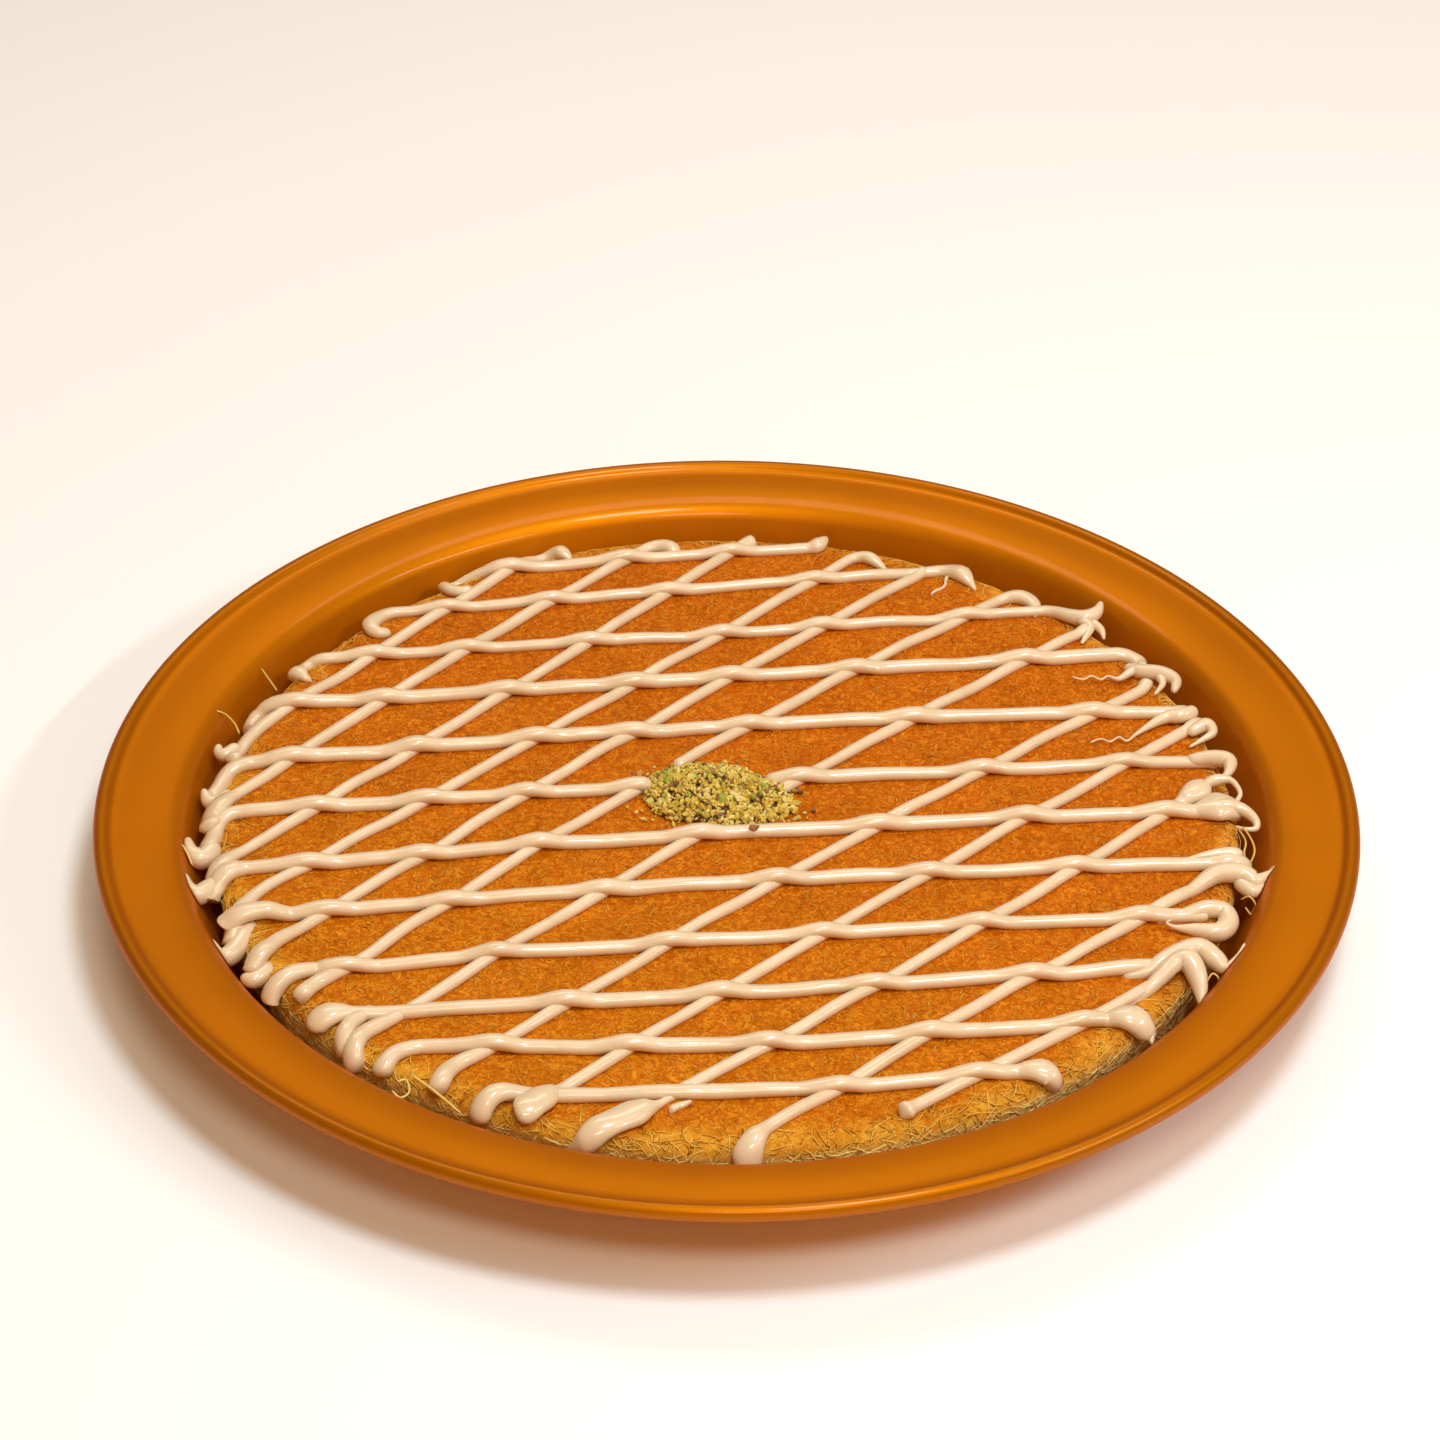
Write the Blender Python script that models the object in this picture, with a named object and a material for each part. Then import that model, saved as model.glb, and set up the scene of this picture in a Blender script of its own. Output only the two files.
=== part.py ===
"""Kunafa on its round serving tray.

A flat cake of shredded pastry fills a wide-rimmed metal tray. Two families of piped drizzle
cross over it in a slanting lattice, and a small heap of chopped pistachio lies in the middle.
Object units are metres with +Z up. The origin is the centre of the tray's underside, and the
front of the tray faces -Y. Driving dimensions are in millimetres and go through MM.
"""
import math
from collections import namedtuple

import bmesh
import bpy
from mathutils import Vector, noise

MM = 0.001
GAP = 0.3                       # air between pieces that rest on each other

# Tray: pressed sheet with a sloping wall, a broad flange and a rolled edge
TRAY_SEGMENTS = 56
SHEET = 1.2
WALL_SLOPE = 68.0               # degrees above the floor
FLOOR_FILLET = 4.0
BEND_RADIUS = 8.0               # where the wall turns out into the flange
BEND_CENTRE = (178.1, 22.5)     # radius and height of that bend's centre
CROWN_STEEP = 15.0              # the flange's inner part is gently domed, from this slope
CROWN_MIDDLE = (184.0, 31.2)    # through here to the flat of the flange
WALL_FOOT = (161.9, 3.8)        # the wall's inside runs straight up from here
WALL_CLEAR = 0.8                # nothing on the cake comes nearer to the wall than this
FLANGE_END = (193.6, 32.0)      # where the flange meets the rolled edge
BEAD_CENTRE = (196.5, 31.6)
BEAD_RADIUS = 2.7

# Pastry cake
PASTRY_SEGMENTS = 64
PASTRY_BOTTOM = SHEET + GAP
PASTRY_TOP = 24.5
SHOULDER_START = 157.0          # the flat top ends here
SHOULDER_ROUND = 5.0            # and rolls over into the side on this radius
PASTRY_FOOT = 157.4
CRAG_DEPTH = 0.8                # shreds that stand out or fell away round the side
CRAG_SIZE = 9.0

# Drizzle: shares of a line's width
LINE_HEIGHT = 0.72
LINE_FAT = 6.0                  # past this width a drop grows wider but no taller
LINE_BELLY = 0.30               # height of the widest place
LINE_FOOT = 0.42                # half width at the bottom
LINE_CROWN = 0.28               # half width of a cross line's flatter top
BURIED_ON_TOP = 0.6             # how deep a line's underside sits in the pastry
BURIED_ON_SIDE = 1.5
HUMP = 2.7                      # rise where a long line runs over a cross line
HUMP_RISE = 11.0
HUMP_FALL = 8.0
HUMP_LEAD = 1.0                 # the peak comes this much before the crossing
HUMP_RINGS = (-11.0, -1.0, 8.0)
RUN_STEP = 40.0
TAIL_STEP = 4.0
THINNEST_TAIL = 1.4

# Chopped pistachio heap
HEAP_CENTRE = (-3.0, 5.4)
HEAP_HALF = (22.5, 15.0)
HEAP_TILT = -13.0
HEAP_HEIGHT = 7.8
HEAP_SIDES = 26
HEAP_RINGS = 5
HEAP_BUMP = 1.1
NUT_BITS = 26
NUT_SIZES = (1.6, 3.0)

# A line lies at an offset from the middle on a compass bearing, bowed by so many millimetres
# 100 mm out, and runs from start to finish. Each end is a chain of bends: degrees turned,
# length, width reached and lift above the pastry. A gap is the stretch under the pistachio.
Line = namedtuple("Line", "offset bearing bow width start finish first last gap", defaults=(None,))

LONG_LINES = (
    Line(-138.0, 4.5, 6.0, 4.9, -59, 74,
         ((65, 20, 5.5, 0),), ((-5, 8, 7.5, 0.5), (-100, 6, 4.5, 0))),
    Line(-117.0, 4.0, 4.5, 5.0, -92, 104,
         ((60, 17, 5.0, 0),), ((-5, 8, 8.0, 0.8), (-50, 8, 5.5, 0.5))),
    Line(-93.0, 6.0, 0.5, 5.0, -112, 124,
         ((45, 9, 7.5, 0.3),), ((-30, 12, 7.0, 1), (45, 7, 1.5, 3))),
    Line(-67.0, 6.5, -1.5, 4.7, -126, 138,
         ((45, 17, 5.5, 0), (0, 8, 7.0, 0)),
         ((-100, 8, 6.0, 0.5), (-85, 8, 4.5, 0), (-15, 8, 1.5, 0))),
    Line(-39.0, 6.0, -2.0, 5.0, -150, 145,
         ((45, 10, 8.0, 0.3),), ((15, 8, 5.0, 1), (-120, 9, 4.5, 0))),
    Line(-14.0, 6.5, -1.5, 5.1, -152, 147,
         ((65, 9, 9.5, 0), (10, 6, 8.0, 0)),
         ((0, 8, 13.0, 1.5), (-50, 12, 5.0, 0.5), (-20, 6, 3.0, 0))),
    Line(13.5, 6.0, -1.0, 4.8, -154, 154,
         ((75, 10, 5.0, 0), (0, 9, 6.5, 0)),
         ((-85, 8, 5.0, 0.8), (-35, 9, 1.5, 0)), gap=(-27, 21)),
    Line(44.0, 6.25, -2.5, 5.2, -148, 151,
         ((65, 13, 5.5, 0), (0, 6, 5.0, 0)), ((-30, 6, 7.0, 0.3),)),
    Line(72.0, 7.0, -0.5, 5.1, -144, 140,
         ((45, 8, 9.0, 0.3), (25, 12, 5.0, 0)), ((-80, 10, 5.5, 0.5), (-20, 9, 4.5, 0))),
    Line(98.5, 7.5, 0.5, 4.3, -126, 120,
         ((100, 11, 5.5, 0.4), (60, 6, 2.0, 0)),
         ((-45, 8, 4.5, 0), (30, 8, 6.0, 1), (75, 9, 1.5, 3))),
    Line(126.0, 9.0, 0.0, 4.3, -94, 93,
         ((75, 13, 5.5, 0), (150, 9, 3.5, 0)), ((-55, 9, 6.0, 0.5), (-20, 9, 1.5, 0))),
    Line(148.0, 8.5, -2.0, 4.3, -72, 50,
         ((210, 22, 4.0, 0.8),), ((0, 3, 6.0, 0), (95, 7, 1.5, 3))),
)
CROSS_LINES = (
    Line(-148.0, 37.5, 2.0, 4.3, -44, 56,
         ((10, 6, 7.0, 0.3),), ((-110, 7, 6.5, 1.2), (-10, 13, 1.5, 0))),
    Line(-123.5, 40.5, -2.0, 4.3, -90, 96,
         ((35, 15, 10.0, 0),), ((-90, 8, 8.0, 0.5), (125, 7, 1.5, 3))),
    Line(-96.0, 42.0, 2.0, 4.2, -99, 108,
         ((0, 10, 2.5, 0), (5, 10, 8.5, 0.3), (20, 12, 3.0, 0)),
         ((0, 10, 9.0, 1), (50, 7, 2.0, 1))),
    Line(-67.0, 42.75, -1.0, 4.1, -128, 140,
         ((10, 13, 7.5, 0),), ((-115, 10, 6.5, 0.5), (-15, 9, 2.5, 0))),
    Line(-38.5, 42.5, -2.0, 4.1, -136, 146,
         ((40, 20, 5.0, 0),), ((30, 6, 5.0, 0.5),)),
    Line(-4.5, 43.75, -2.0, 4.1, -138, 154,
         ((40, 20, 5.0, 0),), ((-20, 6, 6.0, 0.8),), gap=(-13, 20)),
    Line(27.5, 44.75, -3.0, 4.1, -135, 150,
         ((40, 20, 5.0, 0),), ((-65, 9, 5.0, 0.8), (-90, 12, 3.5, 0.3)), gap=(-14, 11)),
    Line(50.5, 45.75, -1.0, 4.1, -135, 143,
         ((25, 20, 6.5, 0),), ((0, 5, 4.5, 0.5),)),
    Line(70.5, 45.75, 0.5, 4.0, -130, 133,
         ((40, 14, 6.5, 0), (-10, 14, 6.0, 0), (-140, 8, 1.5, 3)),
         ((-80, 8, 5.0, 0.5), (-20, 9, 1.5, 0))),
    Line(96.5, 49.0, 1.0, 4.1, -119, 116,
         ((20, 10, 6.5, 0),), ((-40, 9, 6.0, 0.5),)),
    Line(124.0, 49.0, -3.5, 4.2, -98, 94,
         ((40, 17, 7.5, 0), (-150, 8, 1.5, 3)), ((-90, 11, 5.5, 0.5), (-30, 6, 2.0, 0))),
    Line(145.5, 51.0, -1.0, 4.1, -58, 72,
         ((25, 18, 4.0, 0), (0, 10, 5.0, 0), (-130, 7, 1.5, 3)),
         ((-80, 10, 5.5, 0.5), (-40, 6, 2.0, 0))),
)


def material(name, colour, roughness, metallic=0.0):
    """A Principled material with one plain colour."""
    made = bpy.data.materials.new(name)
    made.use_nodes = True
    shader = made.node_tree.nodes["Principled BSDF"]
    shader.inputs["Base Color"].default_value = (*colour, 1.0)
    shader.inputs["Roughness"].default_value = roughness
    shader.inputs["Metallic"].default_value = metallic
    return made


def add_object(name, points, faces):
    """A mesh object from points in millimetres, with its faces turned outwards."""
    mesh = bpy.data.meshes.new(name)
    mesh.from_pydata([Vector(p) * MM for p in points], [], faces)
    work = bmesh.new()
    work.from_mesh(mesh)
    bmesh.ops.recalc_face_normals(work, faces=work.faces)
    work.to_mesh(mesh)
    work.free()
    made = bpy.data.objects.new(name, mesh)
    bpy.context.scene.collection.objects.link(made)
    return made


def rings_to_faces(rings, sides, closed):
    """Quads between neighbouring rings of points; the ring list closes on itself if asked."""
    faces = []
    for ring in range(rings if closed else rings - 1):
        here = ring * sides
        there = (ring + 1) % rings * sides
        for side in range(sides):
            beside = (side + 1) % sides
            faces.append((here + side, here + beside, there + beside, there + side))
    return faces


def arc(centre, radius, first, last, count):
    """Points on an arc in the radius-height plane, angles in degrees from outwards."""
    step = (last - first) / (count - 1)
    angles = [math.radians(first + step * i) for i in range(count)]
    return [(centre[0] + radius * math.cos(a), centre[1] + radius * math.sin(a)) for a in angles]


def tray_profile():
    """The sheet's section from the floor's middle, over the rolled edge and back beneath."""
    wall = math.radians(WALL_SLOPE)
    bend_end = 90 + WALL_SLOPE
    bend_start = 90 + CROWN_STEEP
    lower = arc(BEND_CENTRE, BEND_RADIUS, bend_end, bend_end, 2)[0]
    fillet_height = SHEET + FLOOR_FILLET
    # The wall runs straight down from the bend until it is tangent to the floor's fillet
    drop = lower[1] - (fillet_height - FLOOR_FILLET * math.cos(wall))
    fillet_radius = lower[0] - drop / math.tan(wall) - FLOOR_FILLET * math.sin(wall)
    fillet_centre = (fillet_radius, fillet_height)
    inside = [(fillet_radius, SHEET)]
    inside += arc(fillet_centre, FLOOR_FILLET, -90 + WALL_SLOPE / 2, WALL_SLOPE - 90, 2)
    inside += arc(BEND_CENTRE, BEND_RADIUS, bend_end, bend_start, 4)
    inside += [CROWN_MIDDLE, FLANGE_END]
    bead = arc(BEAD_CENTRE, BEAD_RADIUS, 150, -150, 8)
    outside = [(FLANGE_END[0], FLANGE_END[1] - SHEET),
               (CROWN_MIDDLE[0], CROWN_MIDDLE[1] - SHEET)]
    outside += arc(BEND_CENTRE, BEND_RADIUS - SHEET, bend_start, bend_end, 3)
    outside += arc(fillet_centre, FLOOR_FILLET + SHEET, WALL_SLOPE - 90, -90, 3)
    return inside + bead + outside


def make_tray():
    """Turn the profile about the upright axis and close the floor above and below."""
    profile = tray_profile()
    points = []
    for radius, height in profile:
        for side in range(TRAY_SEGMENTS):
            turn = 2 * math.pi * side / TRAY_SEGMENTS
            points.append((radius * math.cos(turn), radius * math.sin(turn), height))
    faces = rings_to_faces(len(profile), TRAY_SEGMENTS, closed=False)
    last_ring = (len(profile) - 1) * TRAY_SEGMENTS
    for ring, height in ((0, SHEET), (last_ring, 0.0)):
        middle = len(points)
        points.append((0, 0, height))
        for side in range(TRAY_SEGMENTS):
            faces.append((middle, ring + side, ring + (side + 1) % TRAY_SEGMENTS))
    tray = add_object("tray", points, faces)
    tray.data.shade_smooth()
    tray.data.set_sharp_from_angle(angle=math.radians(40))
    tray.data.materials.append(material("gold lacquered aluminium", (0.55, 0.15, 0.01), 0.3, 0.9))
    return tray


def pastry_section():
    """Radius and height down the cake's edge, from the rim of its flat top to its foot."""
    section = []
    for share in (0.0, 0.35, 0.7, 1.0):
        turn = share * math.pi / 2
        section.append((SHOULDER_START + SHOULDER_ROUND * math.sin(turn),
                        PASTRY_TOP - SHOULDER_ROUND * (1 - math.cos(turn))))
    side = SHOULDER_START + SHOULDER_ROUND
    section.append((side + 0.2, PASTRY_TOP * 0.5))
    section.append(((side + PASTRY_FOOT) / 2, PASTRY_TOP * 0.2))
    section.append((PASTRY_FOOT, PASTRY_BOTTOM))
    return section


def crag(x, y, z):
    """How far shreds stand out of the side at a place, in millimetres."""
    return CRAG_DEPTH * noise.noise(Vector((x, y, z * 2)) / CRAG_SIZE)


def make_cake():
    """The shredded pastry without its drizzle: a flat-topped cake with a craggy side."""
    section = pastry_section()
    points = []
    for ring, (radius, height) in enumerate(section):
        for side in range(PASTRY_SEGMENTS):
            turn = 2 * math.pi * side / PASTRY_SEGMENTS
            x, y = radius * math.cos(turn), radius * math.sin(turn)
            out = 0 if ring in (0, len(section) - 1) else crag(x, y, height)
            points.append((x + out * math.cos(turn), y + out * math.sin(turn), height))
    faces = rings_to_faces(len(section), PASTRY_SEGMENTS, closed=False)
    last_ring = (len(section) - 1) * PASTRY_SEGMENTS
    faces.append(tuple(range(PASTRY_SEGMENTS)))
    faces.append(tuple(last_ring + side for side in range(PASTRY_SEGMENTS)))
    return add_object("pastry", points, faces)


def on_pastry(x, y, lift):
    """A place on the unrolled cake, wrapped over its shoulder and raised off the surface."""
    reach = math.hypot(x, y)
    quarter = SHOULDER_ROUND * math.pi / 2
    turn = min(max(reach - SHOULDER_START, 0.0) / SHOULDER_ROUND, math.pi / 2)
    down = max(reach - SHOULDER_START - quarter, 0.0)
    radius = min(reach, SHOULDER_START) + SHOULDER_ROUND * math.sin(turn) + lift * math.sin(turn)
    height = PASTRY_TOP - SHOULDER_ROUND * (1 - math.cos(turn)) - down + lift * math.cos(turn)
    wall = WALL_FOOT[0] + (height - WALL_FOOT[1]) / math.tan(math.radians(WALL_SLOPE))
    radius = min(radius, wall - WALL_CLEAR)
    return (x / reach * radius, y / reach * radius, height)


def buried(x, y):
    """How deep a line's underside sits: deeper where the side is craggy."""
    share = min(max(math.hypot(x, y) - SHOULDER_START, 0.0) / SHOULDER_ROUND, 1.0)
    return BURIED_ON_TOP + (BURIED_ON_SIDE - BURIED_ON_TOP) * share


def along(line, s):
    """Plan position of a line at distance s from its middle."""
    bearing = math.radians(line.bearing)
    side = line.offset + line.bow * (s / 100) ** 2
    return (s * math.cos(bearing) - side * math.sin(bearing),
            s * math.sin(bearing) + side * math.cos(bearing))


def crossings(line, others):
    """Distances along a line at which it runs over the others."""
    found = []
    bearing = math.radians(line.bearing)
    for other in others:
        course = math.radians(other.bearing)
        s = 0.0
        for _ in range(6):
            x, y = along(line, s)
            t = x * math.cos(course) + y * math.sin(course)
            side = y * math.cos(course) - x * math.sin(course)
            miss = side - other.offset - other.bow * (t / 100) ** 2
            s += miss / math.sin(course - bearing)
        if line.start < s < line.finish and other.start < t < other.finish:
            found.append(s)
    return sorted(found)


def hump(s, peaks):
    """Share of the full rise at s, where the line rides over the ones below."""
    height = 0.0
    for peak in peaks:
        off = s - peak + HUMP_LEAD
        span = HUMP_RISE if off < 0 else HUMP_FALL
        if abs(off) < span:
            height = max(height, 0.5 + 0.5 * math.cos(math.pi * off / span))
    return height


def run_stations(line, peaks):
    """Distances along a line's straight run at which it gets a ring."""
    whole = line.finish - line.start
    count = max(2, round(whole / RUN_STEP) + 1)
    stations = [line.start + whole * i / (count - 1) for i in range(count)]
    if peaks:
        stations = [line.start, line.finish]
        for peak in peaks:
            stations += [peak + step for step in HUMP_RINGS]
    kept = [line.start]
    for s in sorted(stations):
        if line.start < s < line.finish and s - kept[-1] > TAIL_STEP:
            kept.append(s)
    return kept + [line.finish]


def tail(x, y, heading, width, bends):
    """Stations of a line's end: a chain of bends with changing width and lift."""
    stations = []
    lift = 0.0
    for turn, length, end_width, end_lift in bends:
        steps = max(1, math.ceil(length / TAIL_STEP))
        for step in range(1, steps + 1):
            heading += math.radians(turn) / steps
            x += length / steps * math.cos(heading)
            y += length / steps * math.sin(heading)
            share = step / steps
            stations.append((x, y, heading, width + (end_width - width) * share,
                             lift + (end_lift - lift) * share))
        width, lift = end_width, end_lift
    return [station for station in stations if station[3] >= THINNEST_TAIL]


def line_stations(line, peaks):
    """Every station of a line from its first tip to its last, as x, y, heading, width, lift."""
    bearing = math.radians(line.bearing)
    first = tail(*along(line, line.start), bearing + math.pi, line.width, line.first)
    first = [(x, y, heading - math.pi, width, lift) for x, y, heading, width, lift in first]
    run = []
    for s in run_stations(line, peaks):
        lean = math.atan(2 * line.bow * s / 100 ** 2)
        run.append((*along(line, s), bearing + lean, line.width, HUMP * hump(s, peaks)))
    last = tail(*along(line, line.finish), bearing, line.width, line.last)
    return first[::-1] + run + last


def long_section(width, lift, sink):
    """A long line's ring, as half widths and heights: foot, belly, top, belly, foot."""
    tall = min(width, LINE_FAT)
    belly = lift + LINE_BELLY * tall
    return ((-LINE_FOOT, sink), (-0.5, belly), (0.0, lift + LINE_HEIGHT * tall),
            (0.5, belly), (LINE_FOOT, sink))


def cross_section(width, lift, sink):
    """A cross line's plainer ring: it lies flatter, under the long lines."""
    crown = lift + LINE_HEIGHT * min(width, LINE_FAT)
    return ((-0.5, sink), (-LINE_CROWN, crown), (LINE_CROWN, crown), (0.5, sink))


def make_tube(name, stations, section):
    """A closed line of drizzle: rings along its stations with their feet in the pastry."""
    points = []
    for x, y, heading, width, lift in stations:
        for aside, height in section(width, lift, -buried(x, y)):
            points.append(on_pastry(x - aside * width * math.sin(heading),
                                    y + aside * width * math.cos(heading), height))
    sides = len(points) // len(stations)
    faces = rings_to_faces(len(stations), sides, closed=False)
    for ring in (0, len(stations) - 1):
        faces.append(tuple(ring * sides + side for side in range(sides)))
    return add_object(name, points, faces)


def split_at_gap(line):
    """A line in one piece, or in the two that stop short of the pistachio."""
    if line.gap is None:
        return [line]
    return [line._replace(finish=line.gap[0], last=()), line._replace(start=line.gap[1], first=())]


def make_drizzle():
    """All the lines: the long ones ride over the cross ones."""
    tubes = []
    for number, line in enumerate(CROSS_LINES):
        for part, piece in enumerate(split_at_gap(line)):
            stations = line_stations(piece, [])
            tubes.append(make_tube(f"cross_line_{number}_{part}", stations, cross_section))
    below = [piece for line in CROSS_LINES for piece in split_at_gap(line)]
    for number, line in enumerate(LONG_LINES):
        for part, piece in enumerate(split_at_gap(line)):
            stations = line_stations(piece, crossings(piece, below))
            tubes.append(make_tube(f"long_line_{number}_{part}", stations, long_section))
    return tubes


def fuse(base, pieces, solver):
    """Join pieces to a base with one union, keep its largest body and remove the pieces."""
    group = bpy.data.collections.new("to fuse")
    for piece in pieces:
        group.objects.link(piece)
    union = base.modifiers.new("union", "BOOLEAN")
    union.operation = "UNION"
    union.operand_type = "COLLECTION"
    union.collection = group
    union.solver = solver
    seen = base.evaluated_get(bpy.context.evaluated_depsgraph_get())
    joined = bpy.data.meshes.new_from_object(seen)
    base.modifiers.remove(union)
    old = base.data
    base.data = joined
    bpy.data.meshes.remove(old)
    for piece in pieces:
        mesh = piece.data
        bpy.data.objects.remove(piece)
        bpy.data.meshes.remove(mesh)
    bpy.data.collections.remove(group)
    keep_largest_body(base)


def keep_largest_body(made):
    """Drop loose scraps and sealed hollows, which a union can leave."""
    work = bmesh.new()
    work.from_mesh(made.data)
    bmesh.ops.triangulate(work, faces=work.faces)
    bmesh.ops.remove_doubles(work, verts=work.verts, dist=0.02 * MM)
    bmesh.ops.dissolve_degenerate(work, edges=work.edges, dist=0.01 * MM)
    bmesh.ops.triangulate(work, faces=work.faces)
    bodies = []
    left = set(work.verts)
    while left:
        body = set()
        front = [left.pop()]
        while front:
            vert = front.pop()
            body.add(vert)
            for edge in vert.link_edges:
                other = edge.other_vert(vert)
                if other in left:
                    left.remove(other)
                    front.append(other)
        bodies.append(body)
    largest = max(bodies, key=len)
    scraps = [vert for body in bodies if body is not largest for vert in body]
    bmesh.ops.delete(work, geom=scraps, context="VERTS")
    work.to_mesh(made.data)
    work.free()


def make_pastry():
    """The cake with its drizzle fused on."""
    pastry = make_cake()
    fuse(pastry, make_drizzle(), "MANIFOLD")
    pastry.data.materials.append(material("baked shredded pastry", (0.62, 0.2, 0.03), 0.6))
    return pastry


def make_heap_core():
    """A low mound with bumps the size of nut bits and a flat base on the pastry."""
    floor = PASTRY_TOP + GAP
    tilt = math.radians(HEAP_TILT)
    points = []
    for ring in range(HEAP_RINGS):
        out = 1 - ring / HEAP_RINGS
        for side in range(HEAP_SIDES):
            turn = 2 * math.pi * (side + 0.5 * (ring % 2)) / HEAP_SIDES
            across = HEAP_HALF[0] * out * math.cos(turn)
            deep = HEAP_HALF[1] * out * math.sin(turn)
            x = HEAP_CENTRE[0] + across * math.cos(tilt) - deep * math.sin(tilt)
            y = HEAP_CENTRE[1] + across * math.sin(tilt) + deep * math.cos(tilt)
            bump = HEAP_BUMP * noise.noise(Vector((x, y, 0)) * 0.9)
            rise = 0 if ring == 0 else 0.8 + (HEAP_HEIGHT - 1.5) * (1 - out ** 2) ** 0.8 + bump
            points.append((x, y, floor + rise))
    faces = rings_to_faces(HEAP_RINGS, HEAP_SIDES, closed=False)
    peak = len(points)
    points.append((*HEAP_CENTRE, floor + HEAP_HEIGHT - 0.8))
    inner = (HEAP_RINGS - 1) * HEAP_SIDES
    for side in range(HEAP_SIDES):
        faces.append((peak, inner + side, inner + (side + 1) % HEAP_SIDES))
    faces.append(tuple(range(HEAP_SIDES)))
    return add_object("pistachio_heap", points, faces)


def make_nut_bit(number):
    """One chopped bit: an uneven twenty-sided grain set into the mound on a spiral."""
    golden = math.pi * (3 - math.sqrt(5))
    out = 0.86 * math.sqrt((number + 0.5) / NUT_BITS)
    turn = golden * number
    x = HEAP_CENTRE[0] + HEAP_HALF[0] * out * math.cos(turn)
    y = HEAP_CENTRE[1] + HEAP_HALF[1] * out * math.sin(turn)
    size = NUT_SIZES[0] + (NUT_SIZES[1] - NUT_SIZES[0]) * (0.5 + 0.5 * math.sin(2.7 * number))
    height = PASTRY_TOP + GAP + 0.9 + (HEAP_HEIGHT - 1.5) * (1 - out ** 2) ** 0.8
    work = bmesh.new()
    bmesh.ops.create_icosphere(work, subdivisions=1, radius=size / 2)
    points = []
    for vert in work.verts:
        jag = 1 + 0.22 * noise.noise(vert.co * 1.7 + Vector((number, 0, 0)))
        long_way = vert.co.x * 1.25 * jag
        points.append((x + long_way * math.cos(turn * 3) - vert.co.y * math.sin(turn * 3),
                       y + long_way * math.sin(turn * 3) + vert.co.y * math.cos(turn * 3),
                       height + vert.co.z * jag))
    faces = [tuple(vert.index for vert in face.verts) for face in work.faces]
    work.free()
    return add_object(f"nut_bit_{number}", points, faces)


def make_heap():
    """The chopped pistachio: the mound with the bits that show fused on."""
    heap = make_heap_core()
    fuse(heap, [make_nut_bit(number) for number in range(NUT_BITS)], "MANIFOLD")
    heap.data.materials.append(material("chopped pistachio", (0.32, 0.3, 0.04), 0.7))
    return heap


def main():
    for old in list(bpy.data.objects):
        bpy.data.objects.remove(old)
    make_tray()
    make_pastry()
    make_heap()


main()
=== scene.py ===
"""Kunafa on its round serving tray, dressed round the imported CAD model.

The tray is lacquered aluminium, the cake is shredded pastry soaked in syrup, two families of
piped cream cross over it, and chopped pistachio lies in the middle. Shapes are worked out in
millimetres in the CAD model's own frame: origin under the tray's middle, +Z up, front to -Y.
"""

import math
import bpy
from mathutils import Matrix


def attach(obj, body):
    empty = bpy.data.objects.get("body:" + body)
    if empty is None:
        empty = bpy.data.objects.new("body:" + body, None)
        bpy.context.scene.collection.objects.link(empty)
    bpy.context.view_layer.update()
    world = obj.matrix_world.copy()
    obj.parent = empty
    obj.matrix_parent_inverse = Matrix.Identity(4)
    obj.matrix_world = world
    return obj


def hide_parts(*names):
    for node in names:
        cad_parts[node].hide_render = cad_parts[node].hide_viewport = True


bl_info = {
    "name": "Kunafa on a serving tray",
    "version": (1, 0, 0),
    "blender": (4, 5, 0),
    "location": "3D View > Sidebar > Kunafa",
    "description": "Builds a kunafa with piped cream and chopped pistachio on its tray",
    "category": "Add Mesh",
}

from collections import namedtuple
from functools import partial

import bmesh
import bpy
import numpy as np
from bpy.props import FloatProperty, FloatVectorProperty, IntProperty, PointerProperty
from mathutils import Matrix, Vector, noise

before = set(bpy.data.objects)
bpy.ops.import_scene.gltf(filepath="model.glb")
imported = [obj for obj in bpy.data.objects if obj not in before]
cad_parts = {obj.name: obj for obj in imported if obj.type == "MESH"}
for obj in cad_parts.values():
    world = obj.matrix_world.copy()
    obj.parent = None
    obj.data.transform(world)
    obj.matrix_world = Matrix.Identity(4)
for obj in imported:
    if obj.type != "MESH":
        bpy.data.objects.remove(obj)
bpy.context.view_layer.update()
MM = 0.001

# Tray section, radius and height in millimetres, as in the CAD model
SHEET = 1.2
WALL_SLOPE = 68.0
FLOOR_FILLET = 4.0
BEND_RADIUS = 8.0
BEND_CENTRE = (178.1, 22.5)
CROWN_RADIUS = 45.0                         # the flange's inner part is gently domed
CROWN_STEEP = 15.0                          # its slope where it meets the bend
CROWN_FLAT = 2.0                            # and where it meets the flat of the flange
FLANGE_END = (193.6, 32.0)
BEAD_CENTRE = (196.5, 31.6)

# Cake
PASTRY_BOTTOM = 1.5
PASTRY_TOP = 24.5
SHOULDER_START = 157.0
SHOULDER_ROUND = 5.0
PASTRY_FOOT = 157.4
QUARTER = SHOULDER_ROUND * math.pi / 2      # length of the shoulder's arc
WALL_FOOT = (161.9, 3.8)                    # the wall's inside runs straight between these
WALL_HEAD = (170.6, 25.4)
SIDE_DROP = 18.0                            # the skin runs this far down below the shoulder
THREAD_END = 18.6                           # and the lowest threads this far
SKIN_RELIEF = 0.06                          # spread of the clumps' and the crumbs' heights
SWELL = 0.3                                 # and of the whole cake's unevenness
STAND_OUT = 0.42                            # share of the shoulder's turn that free ends skip
THREAD_CLEAR = 0.9                          # the threads come no nearer to the tray than this
CREAM_CLEAR = 0.35                          # nor does the cream than this

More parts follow.
